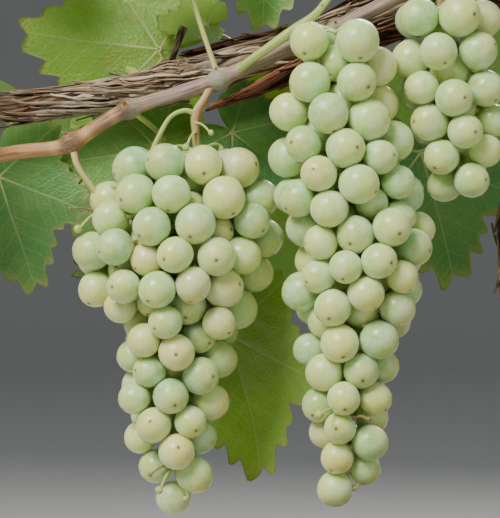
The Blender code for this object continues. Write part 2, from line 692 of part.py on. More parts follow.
def hold_inside(berry, outline):
    """Brings a berry that was pushed out of its bunch's outline back to it."""
    radius = berry[3]
    berry[2] = min(max(berry[2], outline[-1][0] + BERRY_LOW * radius), outline[0][0] - BERRY_LOW * radius)
    x, y, half_width, half_depth = outline_at(outline, berry[2])
    a, b = max(half_width - radius, NARROWEST * radius), max(half_depth - radius, NARROWEST * radius)
    reach = math.hypot((berry[0] - x) / a, (berry[1] - y) / b)
    if reach > BERRY_BULGE:
        berry[0] = x + (berry[0] - x) * BERRY_BULGE / reach
        berry[1] = y + (berry[1] - y) * BERRY_BULGE / reach


def spread_apart(bunches, outlines):
    """Moves berries of all bunches off each other, so that neighbours only press together lightly."""
    berries = [(berry, which) for which, bunch in enumerate(bunches) for berry in bunch]
    for spread_round in range(SPREAD_ROUNDS):
        for i, (one, first) in enumerate(berries):
            for other, second in berries[i + 1:]:
                reach = one[3] + other[3]
                least = reach * BERRY_TOUCH if first == second else reach + GAP
                offset = [b - a for a, b in zip(one[:3], other[:3])]
                distance = math.sqrt(sum(d * d for d in offset))
                if distance < least:
                    push = 0.5 * (least - distance) / max(distance, 1e-6)
                    for axis in range(3):
                        one[axis] -= push * offset[axis]
                        other[axis] += push * offset[axis]
        if spread_round < HELD_ROUNDS:
            for berry, which in berries:
                hold_inside(berry, outlines[which])


def make_core(name, outline, look):
    """The branching stalks inside a bunch, as one solid that every berry reaches into."""
    inset = CORE_DEPTH * BERRY_RADIUS
    top, bottom = outline[0][0], outline[-1][0]
    share = (top - bottom - BERRY_RADIUS) / (top - bottom)
    bm = bmesh.new()
    rings = []
    for level, x, y, half_width, half_depth in outline:
        height = bottom + BERRY_RADIUS / 2 + share * (level - bottom)
        a, b = max(half_width - inset, BERRY_RADIUS / 3), max(half_depth - inset, BERRY_RADIUS / 3)
        ring = []
        for k in range(CORE_SIDES):
            angle = 2 * math.pi * (k + CORE_TURN) / CORE_SIDES
            ring.append(bm.verts.new(above_soil(x + a * math.cos(angle), y + b * math.sin(angle), height)))
        rings.append(ring)
    for lower, upper in zip(rings, rings[1:]):
        for k in range(CORE_SIDES):
            after = (k + 1) % CORE_SIDES
            bm.faces.new((lower[k], lower[after], upper[after], upper[k]))
    bm.faces.new(rings[0])
    bm.faces.new(rings[-1])
    return mesh_object(name, bm, look)


def make_berries(name, outline, berries, stalks, look):
    """One bunch's berries as a single solid, with a socket for each stalk that enters it."""
    bunch = make_core(name, outline, look)
    draw = random.Random(name)
    bm = bmesh.new()
    for x, y, height, radius in berries:
        turn = Matrix.Rotation(draw.uniform(0, math.pi), 4, Vector((draw.random(), draw.random(), 1)))
        place = Matrix.Translation(above_soil(x, y, height)) @ turn
        bmesh.ops.create_icosphere(bm, subdivisions=1, radius=radius, matrix=place)
    apply_boolean(bunch, mesh_object("spheres", bm, look), "UNION")
    for rows in stalks:
        socket = tube("socket", smooth_stem(rows, STALK_RADIUS, GAP), TWIG_SIDES, look)
        apply_boolean(bunch, socket, "DIFFERENCE")
    drop_offcuts(bunch)


def make_tendril(row, look):
    name, stem, point, away, reach, coil = row
    start = above_soil(*stem[point][:3])
    away = Vector(away).normalized()
    side = away.cross(Vector((0, 0, 1))).normalized()
    up = side.cross(away)
    line = []
    for share in (0, 0.25, 0.5, 0.75):
        wave = TENDRIL_WAVE * math.sin(0.9 * math.pi * share)
        line.append((start + share * reach * away + wave * up, TENDRIL_RADIUS))
    centre = start + away * reach + up * coil
    steps = round(TENDRIL_TURNS * TENDRIL_STEPS)
    for i in range(steps + 1):
        angle = -math.pi / 2 + 2 * math.pi * i / TENDRIL_STEPS
        drift = side * TENDRIL_RISE * i / TENDRIL_STEPS
        spot = centre + coil * (math.cos(angle) * away + math.sin(angle) * up) + drift
        line.append((spot, TENDRIL_RADIUS))
    tendril = tube(name, line, TENDRIL_SIDES, look)
    cut_back(tendril, (stem,), look)


def make_stalks(look):
    left = tube("stalk_left", smooth_stem(LEFT_STALK, STALK_RADIUS), TWIG_SIDES, look)
    apply_boolean(left, tube("wing", smooth_stem(LEFT_WING, STALK_RADIUS), TWIG_SIDES, look), "UNION")
    cut_back(left, (CANE,), look)
    make_stem("stalk_node", NODE_STALK, STALK_RADIUS, TWIG_SIDES, (CANE,), look)
    make_stem("stalk_right", RIGHT_STALK, STALK_RADIUS, TWIG_SIDES, (CANE,), look)
    make_stem("stalk_third", THIRD_STALK, STALK_RADIUS, TWIG_SIDES, (CANE,), look)


def make_wood(look):
    head = (TRUNK, LEFT_ARM)
    make_stem("upper_old_cane", UPPER_OLD_CANE, OLD_CANE_RADIUS, TWIG_SIDES, head, look)
    make_stem("lower_old_cane", LOWER_OLD_CANE, OLD_CANE_RADIUS, TWIG_SIDES, head, look)
    make_stem("spur", SPUR, SPUR_RADIUS, TWIG_SIDES, (LEFT_ARM,), look)


def make_shoots(look):
    make_stem("centre_shoot", CENTRE_SHOOT, SHOOT_RADIUS, TWIG_SIDES, (CANE,), look)
    make_stem("back_left_shoot", BACK_LEFT_SHOOT, SHOOT_RADIUS, TWIG_SIDES, (LEFT_ARM,), look)
    make_stem("back_centre_shoot", BACK_CENTRE_SHOOT, SHOOT_RADIUS, TWIG_SIDES, (LEFT_ARM,), look)
    make_stem("head_shoot", HEAD_SHOOT, SHOOT_RADIUS, TWIG_SIDES, (TRUNK, LEFT_ARM), look)
    make_stem("left_shoot", LEFT_SHOOT, SHOOT_RADIUS, TWIG_SIDES, (CANE,), look)
    make_stem("right_upper_shoot", RIGHT_UPPER_SHOOT, SHOOT_RADIUS, TWIG_SIDES, (RIGHT_ARM,), look)
    make_stem("right_lower_shoot", RIGHT_LOWER_SHOOT, SHOOT_RADIUS, TWIG_SIDES, (RIGHT_ARM,), look)


def make_bunches(look):
    outlines = (LEFT_OUTLINE, RIGHT_OUTLINE, THIRD_OUTLINE)
    bunches = [place_berries(outline, seed) for seed, outline in enumerate(outlines, start=1)]
    spread_apart(bunches, outlines)
    make_berries("berries_left", LEFT_OUTLINE, bunches[0], (LEFT_STALK, LEFT_WING, NODE_STALK), look)
    make_berries("berries_right", RIGHT_OUTLINE, bunches[1], (RIGHT_STALK,), look)
    make_berries("berries_third", THIRD_OUTLINE, bunches[2], (THIRD_STALK,), look)


def main():
    clear_scene()
    terracotta = material("terracotta", (0.56, 0.25, 0.14), 0.85)
    earth = material("soil", (0.06, 0.04, 0.03), 0.95)
    bark = material("old_bark", (0.24, 0.18, 0.13), 0.9)
    cane_bark = material("cane_bark", (0.34, 0.24, 0.17), 0.65)
    green = material("green_stem", (0.36, 0.46, 0.14), 0.5)
    leaf_green = material("leaf", (0.16, 0.34, 0.10), 0.5)
    berry_skin = material("berry_skin", (0.55, 0.66, 0.36), 0.35)
    make_pot(terracotta)
    make_soil(earth)
    make_old_wood(bark)
    make_wood(bark)
    make_stem("fruiting_cane", CANE, CANE_RADIUS, BRANCH_SIDES, (TRUNK, LEFT_ARM), cane_bark)
    make_shoots(green)
    make_stalks(green)
    make_bunches(berry_skin)
    for row in LEAVES:
        make_leaf(row, leaf_green)
    for row in TENDRILS:
        make_tendril(row, green)


main()
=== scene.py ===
"""The looks of the potted grapevine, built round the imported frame: bark, leaves, grapes, soil and pot."""

import math
import random

import bmesh
import bpy
import numpy as np
from mathutils import Matrix, Vector, noise


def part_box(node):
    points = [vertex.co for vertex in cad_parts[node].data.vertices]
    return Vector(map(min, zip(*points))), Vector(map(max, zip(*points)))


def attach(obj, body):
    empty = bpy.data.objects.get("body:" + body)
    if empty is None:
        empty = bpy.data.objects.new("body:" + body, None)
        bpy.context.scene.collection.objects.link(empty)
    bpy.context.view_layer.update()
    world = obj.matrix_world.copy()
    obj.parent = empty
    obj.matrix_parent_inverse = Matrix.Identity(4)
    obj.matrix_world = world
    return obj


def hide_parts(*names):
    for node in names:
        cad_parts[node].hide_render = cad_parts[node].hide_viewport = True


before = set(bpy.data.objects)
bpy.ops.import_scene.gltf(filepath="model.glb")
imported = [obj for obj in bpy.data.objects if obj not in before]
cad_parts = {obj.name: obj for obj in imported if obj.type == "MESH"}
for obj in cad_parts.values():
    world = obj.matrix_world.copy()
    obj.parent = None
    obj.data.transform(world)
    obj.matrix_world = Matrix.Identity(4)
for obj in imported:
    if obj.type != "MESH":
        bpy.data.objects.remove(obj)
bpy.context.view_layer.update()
SOIL_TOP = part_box("soil")[1][2]  # heights on the vine are measured from here

TRUNK_RADIUS = 0.0155
ARM_RADIUS = 0.0072
OLD_CANE_RADIUS = 0.0028
CANE_RADIUS = 0.0034
NODE_REACH = 0.0034  # how far a swollen node of the cane reaches each way
SPUR_RADIUS = 0.0017
SHOOT_RADIUS = 0.0018
STALK_RADIUS = 0.0018
PETIOLE_RADIUS = 0.0011
PETIOLE_BEND = 0.32
PEDICEL_RADIUS = 0.00065
TENDRIL_RADIUS = 0.0007
BERRY_RADIUS = 0.0083
BERRY_LEAST, BERRY_MOST = 0.82, 1.14
BERRY_TOP_SIZE = 1.06  # share of the radius that berries have at a bunch's top
BERRY_TAPER = 0.18  # how much of that share is lost towards its tip
BERRY_TOUCH = 0.96  # centres of neighbours lie this share of their two radii apart
BERRY_SPACING = 1.62  # from berry to berry round a ring, in radii
RING_SPACING = 1.50  # from ring to ring, in radii
BERRY_STRAY = 0.25  # how far a berry may sit from its even place
LAST_RING = 0.6  # least height of a ring over the tip, in radii
BERRY_LOW = 0.9  # least distance of a berry's centre from the top and the tip, in its radii
NARROWEST = 0.3  # least half width that berries are kept to, in their radii
BERRY_DEPTHS = (0.62, 1.12)  # how near the outline a berry starts, 1 being on it
BERRY_BULGE = 1.08  # how far past the outline a berry may be pushed
SPREAD_ROUNDS, HELD_ROUNDS = 60, 45
LEAST_HIDDEN = 0.5  # the smallest hidden berry, as a share of the usual radius
HIDDEN_TOUCH = 0.0006  # how far a hidden berry presses into its neighbours
GAP = 0.0004  # between berries of different bunches
SWOLLEN = 1.15  # a row of the cane thicker than this is a node
FLARE_REACH = 0.0016  # how far from its start a green stem widens
POT_FOOT, POT_BODY = 0.104, 0.142  # outer radii of the pot's wall at its foot and at its top
POT_WALL, POT_FLOOR = 0.009, 0.013
POT_BAND, BAND_UNDER = 0.040, 0.038  # how far under the mouth the band starts, at the wall and outside
DRAIN_COUNT, DRAIN_RADIUS, DRAIN_OUT = 4, 0.007, 0.060
SOIL_FOOT = 0.098  # the soil's radius at its underside
SOIL_RINGS, CRUMBS = 70, 620
TRUNK_CLEAR = 0.021  # no loose crumb lies nearer to the trunk's middle
LEAF_RINGS = 20
LEAF_TEETH, SMALL_LEAF_TEETH, SMALL_LEAF = 38, 26, 0.04
LEAF_HALF = 0.00016  # half of a blade's thickness between its veins

# Stems, as in part.py: x, y, height above the soil, and thickness as a share of the stem's radius.
TRUNK = (
    (0.000, 0.000, -0.060, 0.60),
    (0.000, 0.000, -0.030, 0.90),
    (0.000, 0.000, 0.000, 1.30),
    (0.001, 0.001, 0.014, 1.15),
    (0.008, 0.004, 0.050, 1.00),
    (0.010, 0.008, 0.100, 0.92),
    (0.002, 0.010, 0.150, 0.98),
    (-0.003, 0.006, 0.200, 0.88),
    (0.004, 0.004, 0.250, 0.90),
    (0.008, 0.004, 0.290, 0.98),
    (0.002, 0.006, 0.316, 0.95),
    (-0.004, 0.006, 0.330, 0.60),
)
LEFT_ARM = (
    (0.004, 0.005, 0.306, 1.45),
    (-0.014, 0.007, 0.317, 1.35),
    (-0.032, 0.008, 0.319, 1.12),
    (-0.051, 0.008, 0.3116, 1.00),
    (-0.0684, 0.007, 0.302, 1.00),
    (-0.0882, 0.006, 0.293, 1.02),
    (-0.108, 0.006, 0.2844, 0.95),
    (-0.130, 0.006, 0.2778, 1.00),
    (-0.152, 0.006, 0.2712, 1.08),
    (-0.1652, 0.006, 0.268, 1.22),
    (-0.178, 0.006, 0.265, 0.95),
    (-0.1916, 0.007, 0.2624, 0.92),
    (-0.2189, 0.008, 0.2584, 0.90),
    (-0.240, 0.008, 0.256, 0.95),
    (-0.254, 0.007, 0.258, 0.80),
)
RIGHT_ARM = (
    (0.002, 0.005, 0.304, 1.40),
    (0.020, 0.008, 0.316, 1.30),
    (0.042, 0.012, 0.327, 1.05),
    (0.068, 0.014, 0.333, 1.00),
    (0.092, 0.012, 0.331, 1.10),
    (0.112, 0.008, 0.334, 0.85),
)
UPPER_OLD_CANE = (
    (0.000, 0.008, 0.314, 1.20),
    (-0.022, 0.020, 0.333, 1.10),
    (-0.055, 0.021, 0.322, 1.00),
    (-0.086, 0.020, 0.303, 1.05),
    (-0.108, 0.019, 0.292, 1.00),
    (-0.136, 0.019, 0.286, 0.90),
    (-0.163, 0.019, 0.2808, 0.70),
)
LOWER_OLD_CANE = (
    (0.002, 0.002, 0.296, 1.30),
    (-0.024, 0.005, 0.303, 1.20),
    (-0.064, 0.001, 0.2905, 1.10),
    (-0.0948, 0.000, 0.279, 1.00),
    (-0.1234, 0.000, 0.2655, 0.90),
    (-0.1498, 0.000, 0.2545, 0.70),
)
CANE = (
    (-0.002, -0.002, 0.318, 1.20),
    (-0.024, -0.012, 0.3225, 1.05),
    (-0.0464, -0.0135, 0.3125, 1.22),
    (-0.0684, -0.0135, 0.302, 0.95),
    (-0.0935, -0.0135, 0.2896, 1.25),
    (-0.119, -0.0135, 0.2785, 0.95),
    (-0.1436, -0.0135, 0.2676, 1.30),
    (-0.1637, -0.0135, 0.2607, 0.98),
    (-0.1837, -0.0135, 0.2544, 1.25),
    (-0.197, -0.013, 0.2470, 0.98),
    (-0.2092, -0.012, 0.2395, 1.40),
    (-0.2189, -0.011, 0.2368, 1.00),
    (-0.238, -0.008, 0.2350, 0.92),
    (-0.258, -0.004, 0.2310, 1.20),
    (-0.270, -0.002, 0.2300, 0.90),
)
# Buds of the cane: the row each sits on, its way out, its size, and how pale its tip is.
CANE_BUDS = (
    (4, (0.2, -0.8, 0.6), 0.0020, 0.8),
    (6, (-0.3, -0.5, 0.9), 0.0020, 0.15),
    (8, (-0.25, -0.9, 0.35), 0.0034, 1.0),
    (10, (-0.4, -0.6, 0.7), 0.0024, 0.2),
    (13, (-0.2, -0.4, 1.0), 0.0024, 0.5),
    (2, (0.1, -0.7, 0.9), 0.0026, 0.9),
)
BUD_PROFILE = ((0.0, 0.50), (0.25, 0.62), (0.5, 0.60), (0.75, 0.45), (0.95, 0.24), (1.15, 0.10), (1.25, 0.0))
SPUR = (
    (-0.1652, 0.006, 0.268, 1.60),
    (-0.1655, 0.004, 0.2755, 1.10),
    (-0.1630, 0.003, 0.284, 0.95),
    (-0.1597, 0.003, 0.2925, 1.05),
)
CENTRE_SHOOT = (
    (-0.1357, -0.0135, 0.2712, 1.20),
    (-0.128, -0.020, 0.2765, 1.05),
    (-0.1124, -0.022, 0.2874, 1.25),
    (-0.099, -0.020, 0.298, 0.95),
    (-0.088, -0.014, 0.318, 0.95),
    (-0.083, -0.006, 0.345, 1.05),
    (-0.088, 0.000, 0.372, 0.75),
    (-0.094, 0.003, 0.394, 0.55),
)
BACK_LEFT_SHOOT = (
    (-0.178, 0.006, 0.265, 1.10),
    (-0.180, 0.022, 0.270, 1.10),
    (-0.188, 0.036, 0.276, 1.15),
    (-0.202, 0.044, 0.272, 0.95),
    (-0.219, 0.048, 0.261, 1.00),
    (-0.234, 0.047, 0.244, 0.70),
)
BACK_CENTRE_SHOOT = (
    (-0.108, 0.006, 0.2844, 1.10),
    (-0.104, 0.024, 0.276, 1.10),
    (-0.106, 0.038, 0.259, 1.05),
    (-0.114, 0.043, 0.236, 1.10),
    (-0.124, 0.042, 0.208, 0.95),
    (-0.132, 0.038, 0.182, 0.85),
    (-0.136, 0.032, 0.166, 0.60),
)
HEAD_SHOOT = (
    (0.000, 0.006, 0.318, 1.15),
    (-0.004, 0.034, 0.328, 1.10),
    (-0.018, 0.052, 0.318, 1.05),
    (-0.034, 0.060, 0.294, 1.00),
    (-0.043, 0.060, 0.266, 0.70),
)
LEFT_SHOOT = (
    (-0.258, -0.004, 0.2310, 1.10),
    (-0.263, -0.003, 0.243, 1.05),
    (-0.266, 0.000, 0.262, 1.05),
    (-0.262, 0.004, 0.284, 1.00),
    (-0.254, 0.006, 0.306, 0.90),
    (-0.250, 0.004, 0.326, 0.60),
)
RIGHT_UPPER_SHOOT = (
    (0.068, 0.014, 0.333, 1.20),
    (0.071, 0.010, 0.346, 1.05),
    (0.066, 0.004, 0.368, 1.05),
    (0.056, 0.002, 0.390, 0.95),
    (0.050, 0.006, 0.412, 0.60),
)
RIGHT_LOWER_SHOOT = (
    (0.100, 0.010, 0.332, 1.20),
    (0.106, -0.006, 0.334, 1.05),
    (0.120, -0.018, 0.322, 1.05),
    (0.134, -0.022, 0.298, 0.95),
    (0.140, -0.020, 0.270, 0.80),
    (0.138, -0.016, 0.248, 0.55),
)
LEFT_STALK = (
    (-0.1462, -0.0135, 0.2668, 1.10),
    (-0.1495, -0.0150, 0.2600, 0.95),
    (-0.1540, -0.0155, 0.2520, 1.15),
    (-0.1540, -0.0155, 0.2430, 0.95),
    (-0.1535, -0.0155, 0.2330, 1.00),
    (-0.1560, -0.0155, 0.2180, 1.00),
)
LEFT_WING = (
    (-0.1540, -0.0155, 0.2520, 0.70),
    (-0.1590, -0.0175, 0.2535, 0.60),
    (-0.1655, -0.0190, 0.2500, 0.55),
    (-0.1710, -0.0195, 0.2400, 0.55),
    (-0.1755, -0.0190, 0.2290, 0.55),
    (-0.1770, -0.0160, 0.2180, 0.55),
)
NODE_STALK = (
    (-0.2085, -0.012, 0.2395, 1.00),
    (-0.2065, -0.015, 0.2300, 0.80),
    (-0.2000, -0.016, 0.2200, 0.75),
    (-0.1935, -0.016, 0.2120, 0.70),
    (-0.1840, -0.016, 0.2020, 0.60),
)
RIGHT_STALK = (
    (-0.0935, -0.0135, 0.2896, 1.10),
    (-0.0925, -0.0195, 0.2835, 1.05),
    (-0.0910, -0.0225, 0.2740, 1.00),
    (-0.0900, -0.0270, 0.2640, 1.00),
    (-0.0905, -0.0330, 0.2520, 1.00),
)
THIRD_STALK = (
    (-0.0464, -0.0135, 0.3125, 1.10),
    (-0.0460, -0.0180, 0.3050, 1.05),
    (-0.0458, -0.0185, 0.2950, 1.00),
    (-0.0455, -0.0210, 0.2820, 1.00),
    (-0.0450, -0.0260, 0.2680, 1.00),
)

# Outlines of the bunches, as in part.py: height, middle x, middle y, half width, half depth.
LEFT_OUTLINE = (
    (0.2365, -0.1520, -0.016, 0.010, 0.009),
    (0.2272, -0.1580, -0.016, 0.031, 0.023),
    (0.2140, -0.1590, -0.016, 0.040, 0.029),
    (0.1920, -0.1626, -0.016, 0.045, 0.032),
    (0.1744, -0.1643, -0.016, 0.039, 0.030),
    (0.1568, -0.1617, -0.016, 0.029, 0.025),
    (0.1392, -0.1620, -0.015, 0.023, 0.021),
    (0.1216, -0.1650, -0.014, 0.023, 0.020),
    (0.1040, -0.1648, -0.014, 0.0175, 0.016),
    (0.0908, -0.1620, -0.014, 0.011, 0.011),
    (0.0790, -0.1590, -0.014, 0.006, 0.006),
)
RIGHT_OUTLINE = (
    (0.2880, -0.0925, -0.036, 0.012, 0.009),
    (0.2800, -0.0930, -0.036, 0.020, 0.013),
    (0.2681, -0.0890, -0.035, 0.021, 0.017),
    (0.2461, -0.0930, -0.034, 0.027, 0.022),
    (0.2206, -0.0882, -0.033, 0.030, 0.025),
    (0.2074, -0.0815, -0.032, 0.032, 0.026),
    (0.1876, -0.0820, -0.032, 0.027, 0.025),
    (0.1656, -0.0869, -0.031, 0.027, 0.023),
    (0.1480, -0.0869, -0.030, 0.021, 0.020),
    (0.1260, -0.0875, -0.030, 0.019, 0.017),
    (0.1084, -0.0860, -0.030, 0.0145, 0.014),
    (0.0930, -0.0875, -0.030, 0.010, 0.010),
    (0.0850, -0.0880, -0.030, 0.007, 0.007),
)
THIRD_OUTLINE = (
    (0.3000, -0.0465, -0.028, 0.010, 0.009),
    (0.2920, -0.0455, -0.028, 0.020, 0.016),
    (0.2700, -0.0430, -0.027, 0.023, 0.020),
    (0.2480, -0.0410, -0.027, 0.023, 0.020),
    (0.2300, -0.0390, -0.027, 0.016, 0.015),
    (0.2160, -0.0380, -0.027, 0.008, 0.008),
)

# Undeveloped berries and dried pedicel ends: each stalk's start, its end's radius, and its way there.
SMALL_BERRIES = (
    (-0.1770, -0.0160, 0.2220, 0.0016, (-0.0110, -0.012, -0.002)),
    (-0.1920, -0.0160, 0.2100, 0.0018, (-0.0120, -0.010, -0.008)),
    (-0.1540, -0.0170, 0.2440, 0.0017, (-0.0035, -0.006, -0.006)),
    (-0.1540, -0.0170, 0.2480, 0.0013, (0.0060, -0.005, -0.004)),
    (-0.1950, -0.0160, 0.2060, 0.0009, (-0.0130, -0.008, 0.004)),
    (-0.1630, -0.0160, 0.0960, 0.0017, (-0.0060, -0.010, -0.008)),
    (-0.1630, -0.0160, 0.0960, 0.0009, (-0.0100, -0.012, -0.002)),
    (-0.0900, -0.0330, 0.1180, 0.0018, (-0.0100, -0.024, 0.004)),
    (-0.0880, -0.0330, 0.1140, 0.0010, (0.0080, -0.024, 0.006)),
)

# A leaf's edge: degrees from the midrib, and its distance as a share of the leaf's length.
LEAF_EDGE = ((0, 1.00), (18, 0.80), (31, 0.67), (52, 0.86), (86, 0.57), (112, 0.66), (150, 0.44), (176, 0.10))
LOBES = (0, 52, 112)  # degrees from the midrib of the main veins on each side

# Leaves, as in part.py, with two more columns: how yellow (0 to 1) and how old and spotted (0 to 1) each is.
LEAVES = (
    ("leaf_upper_left", BACK_LEFT_SHOOT, 1,
     (-0.172, 0.032, 0.285), (-1, 0.05, 0.12), (0.1, -0.95, 0.15), 0.066, -0.15, 0.10, 0.75, 0.6),
    ("leaf_lower_left", CANE, 8,
     (-0.172, 0.020, 0.238), (-1, 0.0, -0.12), (0.0, -0.95, 0.10), 0.048, 0.15, 0.10, 0.45, 0.9),
    ("leaf_left_edge", BACK_LEFT_SHOOT, 4,
     (-0.246, 0.030, 0.226), (0.30, -0.10, -1), (-0.3, -0.9, 0.1), 0.056, 0.10, 0.15, 0.25, 0.2),
    ("leaf_left_back", BACK_LEFT_SHOOT, 3,
     (-0.206, 0.066, 0.246), (0.25, 0.15, -1), (0.1, 1, 0.3), 0.064, 0.12, 0.12, 0.35, 0.3),
    ("leaf_left_tip", BACK_LEFT_SHOOT, 5,
     (-0.264, 0.050, 0.276), (-0.8, 0.5, 0.1), (-0.2, 0.5, 0.9), 0.050, 0.15, 0.15, 0.5, 0.1),
    ("leaf_small", UPPER_OLD_CANE, 5,
     (-0.150, 0.026, 0.296), (-1, 0.10, 0.05), (0.1, -0.7, 0.7), 0.024, 0.20, 0.10, 0.9, 0.1),
    ("leaf_bright", BACK_CENTRE_SHOOT, 1,
     (-0.113, 0.034, 0.277), (-0.9, 0.05, -0.45), (-0.1, -1, 0.05), 0.030, 0.15, 0.10, 1.0, 0.1),
    ("leaf_centre", BACK_CENTRE_SHOOT, 4,
     (-0.138, 0.022, 0.246), (0.75, -0.05, -0.60), (0.1, -1, 0.05), 0.040, 0.10, 0.15, 0.1, 0.2),
    ("leaf_hanging", BACK_CENTRE_SHOOT, 6,
     (-0.1400, 0.026, 0.1535), (0.30, -0.03, -1), (-0.55, -0.85, 0.1), 0.068, 0.20, 0.05, 0.8, 0.2),
    ("leaf_behind_bunch", BACK_CENTRE_SHOOT, 4,
     (-0.172, 0.044, 0.200), (-0.20, 0.14, -1), (0.1, -0.9, 0.1), 0.052, 0.10, 0.10, 0.2, 0.3),
    ("leaf_centre_back", BACK_CENTRE_SHOOT, 4,
     (-0.122, 0.064, 0.214), (-0.15, 0.15, -1), (0.1, 1, 0.3), 0.066, 0.12, 0.12, 0.3, 0.4),
    ("leaf_right", HEAD_SHOOT, 4,
     (-0.0500, 0.044, 0.238), (0.28, -0.12, -1), (0.15, -0.9, 0.3), 0.064, 0.10, 0.12, 0.15, 0.3),
    ("leaf_right_back", HEAD_SHOOT, 3,
     (-0.026, 0.078, 0.272), (0.25, 0.20, -1), (0.2, 1, 0.4), 0.066, 0.12, 0.12, 0.4, 0.3),
    ("leaf_head_back", HEAD_SHOOT, 2,
     (-0.046, 0.072, 0.330), (-0.8, 0.35, -0.1), (-0.2, 0.6, 1), 0.060, 0.15, 0.15, 0.5, 0.2),
    ("leaf_top_left", CANE, 6,
     (-0.160, -0.014, 0.321), (-0.15, 0.10, 1), (-0.1, -0.95, 0.2), 0.050, 0.15, 0.15, 0.6, 0.2),
    ("leaf_top_centre", CENTRE_SHOOT, 5,
     (-0.122, -0.002, 0.345), (-0.05, 0.0, -1), (-0.1, -1, 0.10), 0.055, 0.10, 0.10, 0.3, 0.1),
    ("leaf_shoot_right", CENTRE_SHOOT, 5,
     (-0.058, -0.018, 0.352), (0.8, -0.25, -0.1), (0.2, -0.6, 0.9), 0.060, 0.12, 0.15, 0.4, 0.2),
    ("leaf_shoot_left", CENTRE_SHOOT, 6,
     (-0.112, 0.002, 0.385), (-0.8, 0.10, 0.05), (-0.2, -0.5, 1), 0.052, 0.15, 0.15, 0.6, 0.1),
    ("leaf_shoot_tip", CENTRE_SHOOT, 7,
     (-0.090, 0.010, 0.408), (0.2, 0.4, 0.6), (0.1, -0.8, 0.4), 0.036, 0.25, 0.10, 0.9, 0.0),
    ("leaf_arm_end", LEFT_SHOOT, 2,
     (-0.284, -0.016, 0.262), (-0.7, -0.35, -0.35), (-0.5, -0.6, 0.8), 0.058, 0.12, 0.15, 0.35, 0.3),
    ("leaf_arm_end_upper", LEFT_SHOOT, 4,
     (-0.276, 0.012, 0.322), (-0.9, 0.10, 0.05), (-0.3, -0.6, 0.9), 0.056, 0.12, 0.15, 0.5, 0.1),
    ("leaf_arm_end_tip", LEFT_SHOOT, 5,
     (-0.240, 0.000, 0.344), (0.5, -0.10, 0.45), (-0.2, -0.8, 0.5), 0.036, 0.20, 0.10, 0.9, 0.0),
    ("leaf_right_upper", RIGHT_UPPER_SHOOT, 2,
     (0.096, -0.004, 0.386), (0.9, -0.15, 0.05), (0.2, -0.5, 1), 0.062, 0.12, 0.15, 0.4, 0.2),
    ("leaf_right_inner", RIGHT_UPPER_SHOOT, 3,
     (0.026, -0.010, 0.398), (-0.9, -0.20, -0.05), (-0.2, -0.6, 0.9), 0.056, 0.12, 0.15, 0.5, 0.1),
    ("leaf_right_tip", RIGHT_UPPER_SHOOT, 4,
     (0.054, 0.018, 0.426), (0.4, 0.4, 0.3), (0.0, -0.6, 0.8), 0.038, 0.20, 0.10, 0.9, 0.0),
    ("leaf_end_front", RIGHT_LOWER_SHOOT, 3,
     (0.118, -0.046, 0.300), (-0.35, -0.35, -1), (-0.1, -1, 0.5), 0.064, 0.12, 0.12, 0.3, 0.3),
    ("leaf_end_side", RIGHT_LOWER_SHOOT, 2,
     (0.152, -0.020, 0.340), (0.9, 0.10, -0.15), (0.3, -0.4, 1), 0.060, 0.12, 0.15, 0.45, 0.2),
    ("leaf_end_low", RIGHT_LOWER_SHOOT, 5,
     (0.148, -0.008, 0.228), (0.25, 0.20, -1), (0.8, -0.5, 0.4), 0.056, 0.15, 0.12, 0.5, 0.3),
    ("leaf_end_back", RIGHT_UPPER_SHOOT, 1,
     (0.076, 0.044, 0.344), (0.3, 0.5, -0.7), (0.2, 1, 0.7), 0.060, 0.12, 0.15, 0.35, 0.2),
)

TENDRILS = (
    ("tendril_left", LEFT_SHOOT, 3, (0.6, -1, 0.5), 0.026, 0.006),
    ("tendril_right", RIGHT_LOWER_SHOOT, 4, (1, -0.7, 0.2), 0.030, 0.006),
)
TENDRIL_TURNS = 2.5
TENDRIL_RISE = 0.0045


# ---------------------------------------------------------------- mesh helpers


def piece_from(name, verts, faces, look, replaced=(), fields=None):
    """A mesh object that rides on the root; fields are point attributes, one number or three each."""
    mesh = bpy.data.meshes.new(name)
    mesh.from_pydata(np.asarray(verts).tolist(), [], [tuple(int(i) for i in face) for face in faces])
    for key, values in (fields or {}).items():
        values = np.asarray(values, np.float32)
        kind = "FLOAT" if values.ndim == 1 else "FLOAT_VECTOR"
        data = mesh.attributes.new(key, kind, "POINT").data
        data.foreach_set("value" if values.ndim == 1 else "vector", values.ravel())
    mesh.materials.append(look)
    mesh.shade_smooth()
    piece = bpy.data.objects.new(name, mesh)
    bpy.context.collection.objects.link(piece)
    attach(piece, "root")
    if replaced:
        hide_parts(*replaced)
    return piece


class Parts:
    """Gathers vertices, faces and fields of many small shapes for one mesh."""

    def __init__(self):
        self.verts, self.faces, self.fields, self.count = [], [], {}, 0

    def add(self, verts, faces, **fields):
        verts = np.asarray(verts, float)
        self.verts.append(verts)
        self.faces += [tuple(int(i) + self.count for i in face) for face in faces]
        for key, value in fields.items():
            value = np.asarray(value, float)
            if value.ndim == 0 or (value.ndim == 1 and len(value) == 3 and len(verts) != 3):
                value = np.broadcast_to(value, (len(verts), *value.shape))
            self.fields.setdefault(key, []).append(value)
        self.count += len(verts)

    def piece(self, name, look, replaced=(), slot=None):
        fields = {key: np.concatenate(values) for key, values in self.fields.items()}
        return piece_from(name, np.concatenate(self.verts), self.faces, look, replaced, fields)


def ring_faces(rings, sides, first=0, inward=False):
    """Quads between rings of vertices, the first ring starting at the vertex first."""
    faces = []
    for j in range(rings - 1):
        for k in range(sides):
            a, b = first + j * sides + k, first + j * sides + (k + 1) % sides
            faces.append((a, a + sides, b + sides, b) if inward else (a, b, b + sides, a + sides))
    return faces


def round_spot(radius, angle):
    """x and y of a point on a circle."""
    return radius * math.cos(angle), radius * math.sin(angle)


